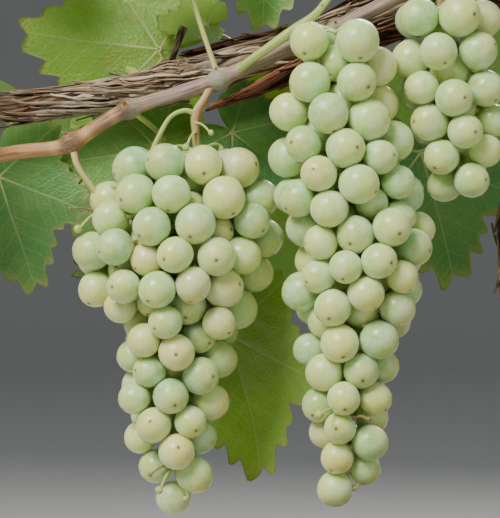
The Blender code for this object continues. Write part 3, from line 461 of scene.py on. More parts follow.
def at_height(rows, radius):
    """Rows of a stem in the frame: x, y, z and radius."""
    return np.array([(x, y, SOIL_TOP + height, share * radius) for x, y, height, share in rows])


def smooth_rows(rows, step):
    """The rows along a smooth curve, about step apart."""
    rows = np.asarray(rows, float)
    out = []
    for i in range(len(rows) - 1):
        p0, p1, p2, p3 = rows[max(i - 1, 0)], rows[i], rows[i + 1], rows[min(i + 2, len(rows) - 1)]
        n = max(2, round(float(np.linalg.norm(p2[:3] - p1[:3])) / step))
        for t in np.arange(n) / n:
            square, cube = 2 * p0 - 5 * p1 + 4 * p2 - p3, 3 * (p1 - p2) + p3 - p0
            out.append(p1 + 0.5 * t * (p2 - p0 + t * (square + t * cube)))
    out.append(rows[-1])
    return np.array(out)


def frames_along(line):
    """Tangents and two steady cross directions at each point of a line."""
    tangents = np.gradient(line, axis=0)
    tangents /= np.linalg.norm(tangents, axis=1)[:, None]
    across = np.zeros_like(tangents)
    side = Vector(tangents[0]).orthogonal().normalized()
    for i, tangent in enumerate(tangents):
        t = Vector(tangent)
        side = (side - side.dot(t) * t).normalized()
        across[i] = side
    return tangents, across, np.cross(tangents, across)


def tube_mesh(rows, sides, relief=None):
    """A closed tube through rows of x, y, z and radius, to which relief(angle, along, radius) is added.

    Gives vertices, faces, and for each vertex its angle, way along, radius and relief.
    """
    line, radii = rows[:, :3], rows[:, 3]
    _, across, side = frames_along(line)
    along = np.concatenate([[0], np.cumsum(np.linalg.norm(np.diff(line, axis=0), axis=1))])
    angles = 2 * math.pi * np.arange(sides) / sides
    angle = np.tile(angles, len(rows))
    way = np.repeat(along, sides)
    radius = np.repeat(radii, sides)
    lift = np.zeros(len(angle)) if relief is None else relief(angle, way, radius)
    reach = (radius + lift)[:, None]
    centre = np.repeat(line, sides, axis=0)
    across, side = np.repeat(across, sides, axis=0), np.repeat(side, sides, axis=0)
    verts = centre + reach * (np.cos(angle)[:, None] * across + np.sin(angle)[:, None] * side)
    faces = ring_faces(len(rows), sides)
    ends = len(verts)
    verts = np.vstack([verts, line[0], line[-1]])
    last = (len(rows) - 1) * sides
    for k in range(sides):
        faces.append((ends, (k + 1) % sides, k))
        faces.append((ends + 1, last + k, last + (k + 1) % sides))
    marks = [np.append(values, [values[0], values[-1]]) for values in (angle, way, radius, lift)]
    return verts, faces, marks


def noise_at(points, scale, seed):
    """Smooth noise between -1 and 1 at each point."""
    shift = Vector((seed * 7.31, seed * 3.17, seed * 5.73))
    return np.array([noise.noise(Vector(p) * scale + shift) for p in points])


def grain_place(angle, way, radius, stretch, twist=0.0):
    """Places for a noise that runs in long streaks down a stem and closes round it."""
    turned = angle + twist * way
    return np.stack([radius * np.cos(turned), radius * np.sin(turned), way * stretch], axis=1)


# ---------------------------------------------------------------- material helpers


class Nodes:
    """A material's nodes, made and joined by short calls."""

    def __init__(self, name):
        self.material = bpy.data.materials.new(name)
        self.material.use_nodes = True
        self.tree = self.material.node_tree
        self.shader = self.tree.nodes["Principled BSDF"]
        self.output = self.tree.nodes["Material Output"]

    def put(self, socket, value):
        if isinstance(value, bpy.types.NodeSocket):
            self.tree.links.new(value, socket)
        elif value is not None:
            if hasattr(socket.default_value, "__len__") and not hasattr(value, "__len__"):
                value = (value,) * len(socket.default_value)
            elif hasattr(value, "__len__") and len(value) == 3 and len(socket.default_value) == 4:
                value = (*value, 1.0)
            socket.default_value = value

    def math(self, operation, a, b=None, c=None, clamp=False):
        node = self.tree.nodes.new("ShaderNodeMath")
        node.operation, node.use_clamp = operation, clamp
        for socket, value in zip(node.inputs, (a, b, c)):
            self.put(socket, value)
        return node.outputs[0]

    def times(self, a, b):
        return self.math("MULTIPLY", a, b)

    def plus(self, a, b):
        return self.math("ADD", a, b)

    def minus(self, a, b, clamp=False):
        return self.math("SUBTRACT", a, b, clamp=clamp)

    def field(self, name, vector=False):
        node = self.tree.nodes.new("ShaderNodeAttribute")
        node.attribute_name = name
        return node.outputs["Vector"] if vector else node.outputs["Fac"]

    def place(self):
        return self.tree.nodes.new("ShaderNodeTexCoord").outputs["Object"]

    def split(self, vector):
        node = self.tree.nodes.new("ShaderNodeSeparateXYZ")
        self.put(node.inputs[0], vector)
        return node.outputs

    def scaled(self, vector, scale):
        node = self.tree.nodes.new("ShaderNodeMapping")
        self.put(node.inputs["Vector"], vector)
        self.put(node.inputs["Scale"], scale)
        return node.outputs[0]

    def noise(self, vector, scale, detail=2.0, roughness=0.5):
        node = self.tree.nodes.new("ShaderNodeTexNoise")
        settings = {"Vector": vector, "Scale": scale, "Detail": detail, "Roughness": roughness}
        for key, value in settings.items():
            self.put(node.inputs[key], value)
        return node.outputs["Fac"]

    def cells(self, vector, scale, feature="DISTANCE_TO_EDGE"):
        node = self.tree.nodes.new("ShaderNodeTexVoronoi")
        node.feature = feature
        self.put(node.inputs["Vector"], vector)
        self.put(node.inputs["Scale"], scale)
        return node.outputs["Distance"]

    def ramp(self, value, *stops):
        """Stops of a place and a colour or a grey; smooth between them."""
        node = self.tree.nodes.new("ShaderNodeValToRGB")
        node.color_ramp.interpolation = "EASE"
        elements = node.color_ramp.elements
        while len(elements) < len(stops):
            elements.new(0.5)
        for element, (spot, color) in zip(elements, stops):
            element.position = spot
            element.color = (*color, 1.0) if hasattr(color, "__len__") else (*[color] * 3, 1.0)
        self.put(node.inputs[0], value)
        return node.outputs[0]

    def mix(self, share, a, b):
        node = self.tree.nodes.new("ShaderNodeMix")
        node.data_type = "RGBA"
        self.put(node.inputs[0], share)
        self.put(node.inputs[6], a)
        self.put(node.inputs[7], b)
        return node.outputs[2]

    def bump(self, height, strength, distance):
        node = self.tree.nodes.new("ShaderNodeBump")
        self.put(node.inputs["Strength"], strength)
        self.put(node.inputs["Distance"], distance)
        self.put(node.inputs["Height"], height)
        self.put(self.shader.inputs["Normal"], node.outputs[0])

    def set(self, **values):
        names = {"color": "Base Color", "roughness": "Roughness", "sss": "Subsurface Weight",
                 "sss_radius": "Subsurface Radius", "sss_scale": "Subsurface Scale", "coat": "Coat Weight",
                 "coat_roughness": "Coat Roughness", "specular": "Specular IOR Level", "ior": "IOR",
                 "sheen": "Sheen Weight"}
        for key, value in values.items():
            self.put(self.shader.inputs[names[key]], value)
        return self.material


def berry_look():
    """Translucent skin with a dull bloom, faint veins, a brown scar at the tip, a few russet specks and a
    painted golden glow towards the tip.
    """
    n = Nodes("berry_skin")
    tone, pole, warm = n.split(n.field("berry", vector=True))
    place = n.place()
    flesh = n.ramp(tone, (0.0, (0.30, 0.57, 0.21)), (0.5, (0.46, 0.69, 0.22)), (1.0, (0.68, 0.77, 0.22)))
    flesh = n.mix(n.ramp(warm, (0.74, 0.0), (1.0, 0.5)), flesh, (0.80, 0.64, 0.32))
    streak = n.noise(place, 420, 3.0, 0.6)
    flesh = n.mix(n.ramp(streak, (0.35, 0.0), (0.7, 0.30)), flesh, (0.60, 0.66, 0.34))
    bloom = n.times(n.ramp(n.noise(place, 160, 4.0, 0.65), (0.38, 0.05), (0.66, 1.0)), 0.32)
    color = n.mix(bloom, flesh, (0.84, 0.90, 0.74))
    speck = n.ramp(n.cells(place, 300, "F1"), (0.06, 1.0), (0.11, 0.0))
    patch = n.ramp(n.noise(place, 95, 2.0), (0.50, 0.0), (0.58, 1.0))
    color = n.mix(n.times(n.times(speck, patch), 0.75), color, (0.22, 0.12, 0.045))
    russet = n.times(n.ramp(n.noise(place, 60, 5.0, 0.7), (0.62, 0.0), (0.72, 0.7)), warm)
    color = n.mix(russet, color, (0.40, 0.24, 0.10))
    scar = n.ramp(pole, (0.9945, 0.0), (0.9985, 1.0))
    # Golden towards each tip, and the tips mostly point down: painted glow of light shining through the
    # berries' lower sides.
    color = n.mix(n.ramp(pole, (0.10, 0.0), (0.95, 0.42)), color, (0.72, 0.66, 0.15))
    color = n.mix(n.ramp(pole, (0.975, 0.0), (0.997, 0.35)), color, (0.42, 0.30, 0.12))
    color = n.mix(scar, color, (0.10, 0.055, 0.025))
    n.bump(n.noise(place, 900, 2.0), 0.08, 0.0004)
    roughness = n.ramp(bloom, (0.0, 0.24), (0.32, 0.46))
    return n.set(color=color, roughness=roughness, sss=0.75, sss_radius=(0.9, 1.0, 0.40), sss_scale=0.0055,
                 coat=0.18, coat_roughness=0.22, ior=1.42, sheen=0.22)


def bark_look(name, dark, middle, pale, streak_scale, grey_share):
    """Weathered bark: pale fibres on the ridges, painted shade in the grooves and cracks, with lichen-grey
    and rust patches.
    """
    n = Nodes(name)
    grain = n.field("grain", vector=True)
    relief = n.field("relief")
    fibre = n.noise(grain, streak_scale, 5.0, 0.65)
    broad = n.noise(grain, streak_scale * 0.22, 3.0, 0.55)
    # Darker where the relief is low: painted shade in the grooves, mixed with the fibres' own light and dark
    # streaks.
    level = n.plus(n.times(relief, 0.62), n.times(n.minus(fibre, 0.5), 1.1))
    color = n.ramp(level, (0.12, dark), (0.36, middle), (0.68, pale))
    rust = n.ramp(broad, (0.52, 0.0), (0.66, 0.65))
    color = n.mix(rust, color, tuple(0.5 * (a + b) for a, b in zip(middle, (0.30, 0.13, 0.06))))
    grey = n.ramp(n.noise(n.place(), 42, 4.0, 0.6), (0.52, 0.0), (0.64, grey_share))
    color = n.mix(grey, color, tuple(0.45 * (a + b) for a, b in zip(pale, (0.42, 0.42, 0.36))))
    # Thin lines along the grain, sunk by the bump and filled near black: real cracks in the bark with painted
    # shade in them.
    middle_line = n.math("ABSOLUTE", n.minus(n.noise(grain, streak_scale * 0.45, 2.0, 0.45), 0.5))
    crack_and_shade = n.ramp(middle_line, (0.0, 1.0), (0.035, 0.0))
    color = n.mix(n.times(crack_and_shade, 0.85), color, tuple(0.5 * c for c in dark))
    fleck = n.ramp(n.noise(grain, streak_scale * 2.6, 2.0, 0.6), (0.62, 0.0), (0.70, 0.8))
    color = n.mix(fleck, color, dark)
    fine = n.times(n.noise(grain, streak_scale * 3.1, 3.0, 0.7), 0.5)
    n.bump(n.minus(n.plus(fibre, fine), n.times(crack_and_shade, 0.9)), 0.85, 0.0008)
    return n.set(color=color, roughness=0.88, specular=0.25)


def cane_look():
    """Smooth young bark that runs from orange-tan through brown to grey-mauve, with fine lengthwise lines."""
    n = Nodes("cane_bark")
    grain = n.field("grain", vector=True)
    node_share, hue, tip = n.split(n.field("cane", vector=True))
    lines = n.noise(grain, 900, 4.0, 0.6)
    color = n.ramp(hue, (0.0, (0.46, 0.21, 0.06)), (0.4, (0.26, 0.12, 0.06)), (1.0, (0.26, 0.185, 0.15)))
    color = n.mix(n.ramp(lines, (0.42, 0.0), (0.68, 0.62)), color, (0.46, 0.34, 0.25))
    color = n.mix(n.ramp(lines, (0.30, 0.75), (0.46, 0.0)), color, (0.085, 0.045, 0.03))
    knot = n.ramp(hue, (0.6, (0.12, 0.085, 0.065)), (0.9, (0.34, 0.33, 0.24)))
    rough = n.ramp(n.noise(n.place(), 700, 4.0, 0.7), (0.35, 0.45), (0.65, 1.0))
    color = n.mix(n.times(n.times(node_share, rough), 0.85), color, knot)
    color = n.mix(tip, color, (0.60, 0.36, 0.15))
    lenticel = n.ramp(n.cells(n.scaled(grain, (1, 1, 1.6)), 420, "F1"), (0.10, 0.7), (0.17, 0.0))
    color = n.mix(n.times(lenticel, 0.5), color, (0.07, 0.035, 0.02))
    n.bump(lines, 0.5, 0.0004)
    return n.set(color=color, roughness=0.58, specular=0.35)


def green_look():
    """Green shoots and stalks, with a pink flush and pale lengthwise ribs."""
    n = Nodes("green_stem")
    grain = n.field("grain", vector=True)
    flush, pale, brown = n.split(n.field("stem", vector=True))
    ribs = n.noise(grain, 1100, 3.0, 0.55)
    color = n.ramp(ribs, (0.3, (0.26, 0.40, 0.07)), (0.7, (0.46, 0.58, 0.16)))
    color = n.mix(n.times(pale, 0.75), color, (0.66, 0.66, 0.26))
    blush = n.times(flush, n.ramp(n.noise(grain, 150, 2.0), (0.35, 0.25), (0.65, 1.0)))
    color = n.mix(blush, color, (0.52, 0.24, 0.15))
    color = n.mix(brown, color, (0.20, 0.11, 0.05))
    n.bump(ribs, 0.4, 0.0003)
    return n.set(color=color, roughness=0.46, sss=0.15, sss_radius=(0.5, 0.8, 0.2), sss_scale=0.002)


def vein_masks(n, place):
    """Main veins, side veins and which side of the blade, from a leaf's own across and along."""
    u, v, side = n.split(place)
    angle = n.math("ABSOLUTE", n.math("ARCTAN2", u, v))
    reach = n.math("SQRT", n.plus(n.times(u, u), n.times(v, v)))
    second = n.math("GREATER_THAN", angle, math.radians(27))
    third = n.math("GREATER_THAN", angle, math.radians(82))
    lobe = n.plus(n.times(second, math.radians(LOBES[1])),
                  n.times(third, math.radians(LOBES[2] - LOBES[1])))
    off = n.minus(angle, lobe)
    along = n.times(reach, n.math("COSINE", off))
    aside = n.math("ABSOLUTE", n.times(reach, n.math("SINE", off)))
    wobble = n.times(n.minus(n.noise(place, 7.0, 2.0), 0.5), 0.05)
    width = n.math("MULTIPLY_ADD", along, -0.014, 0.019)
    main = n.minus(1.0, n.math("DIVIDE", aside, width), clamp=True)
    order = n.times(n.plus(n.math("MULTIPLY_ADD", aside, -0.85, along), wobble), 7.5)
    gap = n.math("ABSOLUTE", n.minus(n.math("FRACT", order), 0.5))
    side_vein = n.minus(1.0, n.math("DIVIDE", gap, 0.065), clamp=True)
    return main, side_vein, side


def leaf_look():
    """Leaf blade: green with paler veins, puckered between them, yellower or spotted by its own numbers."""
    n = Nodes("leaf")
    place = n.field("leaf_place", vector=True)
    yellow, age, _ = n.split(n.field("leaf_tone", vector=True))
    main, side_vein, side = vein_masks(n, place)
    mesh_veins = n.ramp(n.cells(place, 30), (0.0, 1.0), (0.10, 0.0))
    veins = n.math("MAXIMUM", main, n.times(side_vein, 0.62))
    veins = n.math("MAXIMUM", veins, n.times(mesh_veins, 0.25), clamp=True)
    fresh = n.ramp(yellow, (0.0, (0.075, 0.31, 0.145)), (0.5, (0.16, 0.40, 0.06)), (1.0, (0.38, 0.58, 0.07)))
    broad = n.noise(n.place(), 55, 3.0, 0.6)
    color = n.mix(n.ramp(broad, (0.35, 0.0), (0.7, 0.40)), fresh, (0.30, 0.50, 0.14))
    dull = n.times(age, n.ramp(n.noise(place, 3.5, 4.0, 0.65), (0.48, 0.0), (0.70, 0.85)))
    color = n.mix(dull, color, (0.34, 0.34, 0.08))
    color = n.mix(n.times(veins, 0.66), color, (0.56, 0.68, 0.34))
    spots = n.times(age, n.ramp(n.noise(place, 9.0, 5.0, 0.7), (0.63, 0.0), (0.69, 1.0)))
    color = n.mix(spots, color, (0.20, 0.09, 0.035))
    under = n.ramp(side, (0.45, 0.50), (0.55, 0.0))
    color = n.mix(under, color, (0.46, 0.60, 0.36))
    rim = n.ramp(n.field("edge"), (0.90, 0.0), (1.0, 0.7))
    color = n.mix(rim, color, (0.45, 0.46, 0.16))
    height = n.minus(n.times(n.cells(place, 30), 1.4), n.times(veins, 0.6))
    n.bump(height, 0.55, 0.0006)
    n.set(color=color, roughness=n.ramp(side, (0.45, 0.75), (0.55, 0.42)), specular=0.4)
    through = n.tree.nodes.new("ShaderNodeBsdfTranslucent")
    n.put(through.inputs["Color"], n.mix(0.5, color, (0.55, 0.72, 0.08)))
    both = n.tree.nodes.new("ShaderNodeMixShader")
    both.inputs[0].default_value = 0.42
    n.put(both.inputs[1], n.shader.outputs[0])
    n.put(both.inputs[2], through.outputs[0])
    n.put(n.output.inputs["Surface"], both.outputs[0])
    return n.material


def terracotta_look():
    """Fired clay with throwing lines and lime bloom low on the wall."""
    n = Nodes("terracotta")
    place = n.place()
    wear = n.field("wear")
    mottle = n.noise(place, 28, 5.0, 0.6)
    color = n.ramp(mottle, (0.30, (0.36, 0.125, 0.055)), (0.55, (0.50, 0.19, 0.085)),
                   (0.78, (0.60, 0.27, 0.14)))
    lime = n.ramp(n.noise(n.scaled(place, (1, 1, 0.55)), 17, 6.0, 0.68), (0.50, 0.0), (0.70, 0.62))
    color = n.mix(n.times(lime, wear), color, (0.66, 0.56, 0.47))
    grit = n.ramp(n.noise(place, 620, 2.0), (0.60, 0.0), (0.68, 0.6))
    color = n.mix(grit, color, (0.24, 0.09, 0.045))
    surface = n.noise(place, 260, 4.0, 0.6)
    throwing_lines = n.times(n.noise(n.scaled(place, (0.15, 0.15, 9)), 30), 0.8)
    n.bump(n.plus(surface, throwing_lines), 0.30, 0.0008)
    return n.set(color=color, roughness=0.86, specular=0.3)


def soil_look():
    """Dark damp soil, browner on its chips and nearly white on the grains of perlite."""
    n = Nodes("soil")
    place = n.place()
    tone = n.field("crumb")
    color = n.ramp(n.noise(place, 210, 5.0, 0.7), (0.32, (0.014, 0.009, 0.006)),
                   (0.55, (0.045, 0.028, 0.018)), (0.8, (0.10, 0.068, 0.045)))
    color = n.mix(n.ramp(tone, (0.5, 0.0), (0.75, 0.8)), color, (0.15, 0.09, 0.055))
    color = n.mix(n.ramp(tone, (0.93, 0.0), (0.97, 1.0)), color, (0.62, 0.60, 0.56))
    n.bump(n.noise(place, 700, 4.0, 0.7), 0.8, 0.0009)
    return n.set(color=color, roughness=0.96, specular=0.2)


# ---------------------------------------------------------------- wood


def bark_relief(seed, depth, stretch, twist):
    """Long plaited ridges and grooves, in metres, for a tube's radius."""

    def relief(angle, way, radius):
        place = grain_place(angle, way, radius, stretch, twist)
        broad = noise_at(place, 160, seed)
        fine = noise_at(place, 420, seed + 1)
        ridge = 1 - np.abs(noise_at(place, 260, seed + 2)) * 2.6
        swell = noise_at(grain_place(angle, way, radius, 0.9), 38, seed + 3)
        return depth * (0.55 * ridge + 0.45 * broad + 0.30 * fine + 0.9 * swell - 0.45)

    return relief


def add_bark(parts, rows, step, sides, seed, depth, stretch, twist):
    """A stem's bark, and the line that it follows."""
    line = smooth_rows(rows, step)
    relief = bark_relief(seed, depth, stretch, twist)
    verts, faces, (angle, way, radius, lift) = tube_mesh(line, sides, relief)
    grain = grain_place(angle, way, radius, stretch, twist)
    parts.add(verts, faces, grain=grain, relief=0.5 + 0.42 * lift / depth)
    return line


def add_strips(parts, line, count, seed, long, wide, depth, twist, start=0.0):
    """Loose strips of bark that follow a stem and peel away at their ends."""
    section = ((0.0, -1), (0.00035, -0.7), (0.00055, 0), (0.00035, 0.7), (0.0, 1), (-0.0002, 0))
    sides = len(section)
    draw = random.Random(seed)
    _, across, side = frames_along(line[:, :3])
    spacing = float(np.mean(np.linalg.norm(np.diff(line[:, :3], axis=0), axis=1)))
    for _ in range(count):
        length = draw.uniform(*long)
        steps = max(6, int(length / spacing))
        first = int(draw.uniform(start, 1.0) * (len(line) - steps - 1))
        if first < 0:
            continue
        turn, drift = draw.uniform(0, 2 * math.pi), draw.uniform(-4, 4)
        width, peel = draw.uniform(*wide), draw.uniform(0.1, 1.0) ** 3 * 0.0030
        peel_far = draw.uniform(0.0, 1.0) ** 3 * 0.004
        tone = draw.uniform(0.25, 1.0)
        rings, grain = [], []
        for j in range(steps + 1):
            t = j / steps
            row = line[first + j]
            bend = noise.noise(Vector((t * 5, seed * 1.7, turn * 3)))
            angle = turn + (twist + drift) * j * spacing + bend * 0.25
            lift = depth * 0.55 + peel * max(0, 1 - 4 * t) ** 2 + peel_far * max(0, 4 * t - 3) ** 2
            taper = 0.35 + 0.65 * math.sin(math.pi * min(max(t, 0.04), 0.96)) ** 0.5
            spread = 0.5 * width * taper * (1 + 0.5 * bend) / row[3]
            for out, way in section:
                a, own = angle + way * spread, turn + way * spread
                reach = row[3] + lift + out + 0.0003 * bend
                direction = math.cos(a) * across[first + j] + math.sin(a) * side[first + j]
                rings.append(row[:3] + reach * direction)
                place_x, place_y = round_spot(row[3], own)
                grain.append((place_x, place_y + tone * 0.05, j * spacing * 0.10 + tone))
        faces = ring_faces(steps + 1, sides)
        faces.append(tuple(range(sides - 1, -1, -1)))
        faces.append(tuple(steps * sides + k for k in range(sides)))
        parts.add(rings, faces, grain=grain, relief=np.full(len(rings), 0.35 + 0.6 * tone))


def make_old_wood(look):
    """Trunk, left arm and right arm, a piece each, with loose bark along all three."""
    thin = (0.0007, 0.0024)
    for name, rows, thick, bark, strips in (
        ("trunk", TRUNK, TRUNK_RADIUS, (0.0016, 84, 3.0, 0.0019, 0.16, 14.0),
         (110, 5, (0.04, 0.13), (0.0018, 0.005), 0.0019, 14.0, 0.22)),
        ("left_arm", LEFT_ARM, ARM_RADIUS, (0.0010, 56, 11.0, 0.0012, 0.10, 22.0),
         (130, 7, (0.030, 0.095), thin, 0.0012, 22.0)),
        ("right_arm", RIGHT_ARM, ARM_RADIUS, (0.0012, 52, 23.0, 0.0012, 0.10, 22.0),
         (45, 9, (0.020, 0.055), thin, 0.0012, 22.0)),
    ):
        parts = Parts()
        line = add_bark(parts, at_height(rows, thick), *bark)
        add_strips(parts, line, *strips)
        parts.piece(name + "_bark", look, ("trunk_and_arms",), "old_bark")


def make_old_canes(look):
    """The two thin old canes, the lower one a third thicker, each frayed to a thin end."""
    canes = (("upper_old_cane", UPPER_OLD_CANE, 1.0), ("lower_old_cane", LOWER_OLD_CANE, 1.35))
    for seed, (name, rows, thicker) in enumerate(canes):
        parts = Parts()
        placed = at_height(rows, OLD_CANE_RADIUS * thicker)
        placed[-1, 3] *= 0.35
        line = add_bark(parts, placed, 0.0010, 30, 31.0 + seed, 0.0007, 0.08, 30.0)
        add_strips(parts, line, 26, 41 + seed, (0.02, 0.06), (0.0008, 0.002), 0.0006, 30.0)
        parts.piece(name + "_bark", look, (name,), "old_bark")


def make_spur(look):
    """The short cut twig on top of the arm."""
    parts = Parts()
    add_bark(parts, at_height(SPUR, SPUR_RADIUS), 0.0006, 28, 51.0, 0.0004, 0.15, 10.0)
    parts.piece("spur_bark", look, ("spur",), "old_bark")


# ---------------------------------------------------------------- cane, shoots and stalks


def add_bud(parts, spot, away, size, fields):
    """A pointed bud with two overlapping scales."""
    away = Vector(away).normalized()
    turn = away.to_track_quat("Z", "Y").to_matrix()
    sides = 12
    for scale, tilt in ((1.0, 0.0), (0.82, 0.35)):
        verts = []
        for height, radius in BUD_PROFILE:
            for k in range(sides):
                x, y = round_spot(radius, 2 * math.pi * k / sides)
                flat = 0.8 if y > 0 else 1.0
                local = (x * scale + tilt * 0.3 * height, y * flat * scale, height * (1.25 - 0.25 * scale))
                verts.append(tuple(Vector(spot) + turn @ (size * Vector(local))))
        faces = ring_faces(len(BUD_PROFILE), sides)
        faces.append(tuple(range(sides - 1, -1, -1)))
        parts.add(verts, faces, **fields)


def make_cane(look):
    """The young cane with its swollen nodes, buds and fine ribs."""
    rows = at_height(CANE, CANE_RADIUS)
    knobs = [(row[:3].copy(), row[3] / CANE_RADIUS - 0.84)
             for row in rows[1:] if row[3] > SWOLLEN * CANE_RADIUS]
    rows[1:, 3] = np.minimum(rows[1:, 3], 0.98 * CANE_RADIUS)
    line = smooth_rows(rows, 0.0007)
    for spot, share in knobs:
        away = np.linalg.norm(line[:, :3] - spot, axis=1)
        line[:, 3] += CANE_RADIUS * share * np.exp(-((away / NODE_REACH) ** 2))

    def relief(angle, way, radius):
        place = grain_place(angle, way, radius, 0.04)
        fine = 0.00022 * noise_at(place, 900, 61) + 0.00026 * noise_at(place, 380, 62)
        return fine + 0.00035 * noise_at(grain_place(angle, way, radius, 1), 90, 63)

    verts, faces, (angle, way, radius, _) = tube_mesh(line, 44, relief)
    nodes = [row for row in CANE if row[3] > SWOLLEN]
    swell, collar = np.zeros(len(verts)), np.zeros(len(verts))
    for x, y, height, share in nodes:
        away = np.linalg.norm(verts - (x, y, SOIL_TOP + height), axis=1) - share * CANE_RADIUS
        swell = np.maximum(swell, np.clip(1.5 - np.maximum(away, 0) / 0.0014, 0, 1))
        collar = np.maximum(collar, np.exp(-(((away - 0.0042) / 0.0016) ** 2)))
    hue = np.clip((verts[:, 0] + 0.205) / 0.030, 0, 1)
    parts = Parts()
    cane = np.stack([swell, hue, 0.75 * collar * (1 - 0.75 * hue)], axis=1)
    parts.add(verts, faces, grain=grain_place(angle, way, radius, 0.05), cane=cane)
    for index, away, size, tip in CANE_BUDS:
        row = Vector(rows[index][:3])
        spot = row + Vector(away).normalized() * CANE[index][3] * CANE_RADIUS * 0.72
        add_bud(parts, spot, away, size, {"grain": (0.0, 0.0, 0.0), "cane": (0.1, 0.7, tip)})
        eye = spot + Vector(away).normalized() * 0.9 * size
        add_bud(parts, eye, away, 0.55 * size, {"grain": (0.0, 0.0, 0.0), "cane": (0.9, 0.0, 0.0)})
    parts.piece("cane_bark", look, ("fruiting_cane",), "cane_bark")


def add_green(parts, rows, step, sides, flush, pale, brown=0.0, ribs=0.00012, flare=0.55):
    """A green tube; flush and pale may run from a first to a last value along it."""
    line = smooth_rows(rows, step)
    way = np.concatenate([[0], np.cumsum(np.linalg.norm(np.diff(line[:, :3], axis=0), axis=1))])
    line[:, 3] *= 1 + flare * np.exp(-way / FLARE_REACH)

    def relief(angle, way, radius):
        roughness = noise_at(grain_place(angle, way, radius, 0.2), 700, 71)
        return ribs * np.cos(5 * angle + 40 * way) + ribs * roughness

    verts, faces, (angle, way, radius, _) = tube_mesh(line, sides, relief)
    share = way / way.max()

    def run(value):
        first, last = value if isinstance(value, tuple) else (value, value)
        return first + (last - first) * share

    stem = np.stack([run(flush), run(pale), run(brown)], axis=1)
    parts.add(verts, faces, grain=grain_place(angle, way, radius, 0.06), stem=stem)


def make_shoots(look):
    """The green shoots, each with small buds at its joints."""
    for name, rows, flush in (
        ("centre_shoot", CENTRE_SHOOT, (0.15, 0.0)),
        ("back_left_shoot", BACK_LEFT_SHOOT, (0.5, 0.1)),
        ("back_centre_shoot", BACK_CENTRE_SHOOT, (0.4, 0.1)),
        ("head_shoot", HEAD_SHOOT, (0.4, 0.1)),
        ("left_shoot", LEFT_SHOOT, (0.5, 0.0)),
        ("right_upper_shoot", RIGHT_UPPER_SHOOT, (0.5, 0.0)),
        ("right_lower_shoot", RIGHT_LOWER_SHOOT, (0.6, 0.1)),
    ):
        parts = Parts()
        placed = at_height(rows, SHOOT_RADIUS)
        add_green(parts, placed, 0.0012, 22, flush, (0.1, 0.5))
        for row in placed[2:-1]:
            away = Vector((0.3, -0.5, 0.8)) if row[1] < 0.02 else Vector((0.2, 0.6, 0.7))
            spot = Vector(row[:3]) + away.normalized() * row[3] * 0.7
            add_bud(parts, spot, away, 0.0014, {"grain": (0.0, 0.0, 0.0), "stem": (0.45, 0.2, 0.15)})
        parts.piece(name + "_skin", look, (name,), "green_stem")


def bezier(start, control, end, steps):
    """Points on a curve that leaves its start towards control and reaches its end from there."""
    t = np.linspace(0, 1, steps + 1)[:, None]
    return (1 - t) ** 2 * np.array(start) + 2 * t * (1 - t) * np.array(control) + t * t * np.array(end)


def make_tendrils(look):
    """Tendrils that reach out and end in a coil."""
    for name, rows, point, away, reach, coil in TENDRILS:
        start = Vector(at_height(rows, 1)[point][:3])
        away = Vector(away).normalized()
        side = away.cross(Vector((0, 0, 1))).normalized()
        up = side.cross(away)
        spots = [start + share * reach * away + 0.004 * math.sin(0.9 * math.pi * share) * up
                 for share in (0, 0.25, 0.5, 0.75)]
        centre = start + away * reach + up * coil
        for i in range(round(TENDRIL_TURNS * 8) + 1):
            angle = -math.pi / 2 + 2 * math.pi * i / 8
            tighten = 1 - 0.25 * i / 20
            spots.append(centre + coil * tighten * (math.cos(angle) * away + math.sin(angle) * up)
                         + side * TENDRIL_RISE * i / 8)
        line = [(*spot, TENDRIL_RADIUS * (1.15 - 0.6 * i / len(spots))) for i, spot in enumerate(spots)]
        parts = Parts()
        add_green(parts, np.array(line), 0.0008, 10, (0.2, 0.5), (0.6, 0.3), ribs=0.00003)
        parts.piece(name + "_skin", look, (name,), "green_stem")


# ---------------------------------------------------------------- bunches


def outline_at(outline, height):
    """Middle x, middle y, half width and half depth of a bunch at a height."""
    for upper, lower in zip(outline, outline[1:]):
        if height >= lower[0]:
            share = min(max((upper[0] - height) / (upper[0] - lower[0]), 0), 1)
            return [a + share * (b - a) for a, b in zip(upper[1:], lower[1:])]
    return list(outline[-1][1:])


def place_berries(outline, seed):
    """Berries in rings within a bunch's outline, as part.py places them: x, y, height and radius."""
    draw = random.Random(seed)
    berries = []
    top, bottom = outline[0][0], outline[-1][0]
    height = top - BERRY_RADIUS
    turn = 0.0
    while height > bottom + LAST_RING * BERRY_RADIUS:
        x, y, half_width, half_depth = outline_at(outline, height)
        a, b = max(half_width - BERRY_RADIUS, 0), max(half_depth - BERRY_RADIUS, 0)
        around = 2 * math.pi * math.sqrt((a * a + b * b) / 2)
        count = max(1, round(around / (BERRY_SPACING * BERRY_RADIUS)))
        size = BERRY_RADIUS * (BERRY_TOP_SIZE - BERRY_TAPER * (top - height) / (top - bottom))
        for k in range(count):
            angle = turn + 2 * math.pi * (k + draw.uniform(-BERRY_STRAY, BERRY_STRAY)) / count
            radius = size * draw.triangular(BERRY_LEAST, BERRY_MOST, 1.0)
            inset = draw.uniform(*BERRY_DEPTHS) if count > 2 else 1.0
            centre = (
                x + inset * a * math.cos(angle),
                y + inset * b * math.sin(angle),
                height + draw.uniform(-BERRY_STRAY, BERRY_STRAY) * BERRY_RADIUS,
            )
            berries.append([*centre, radius])
        height -= RING_SPACING * BERRY_RADIUS
        turn += math.pi / max(count, 2) + draw.uniform(-BERRY_STRAY, BERRY_STRAY)
    return berries


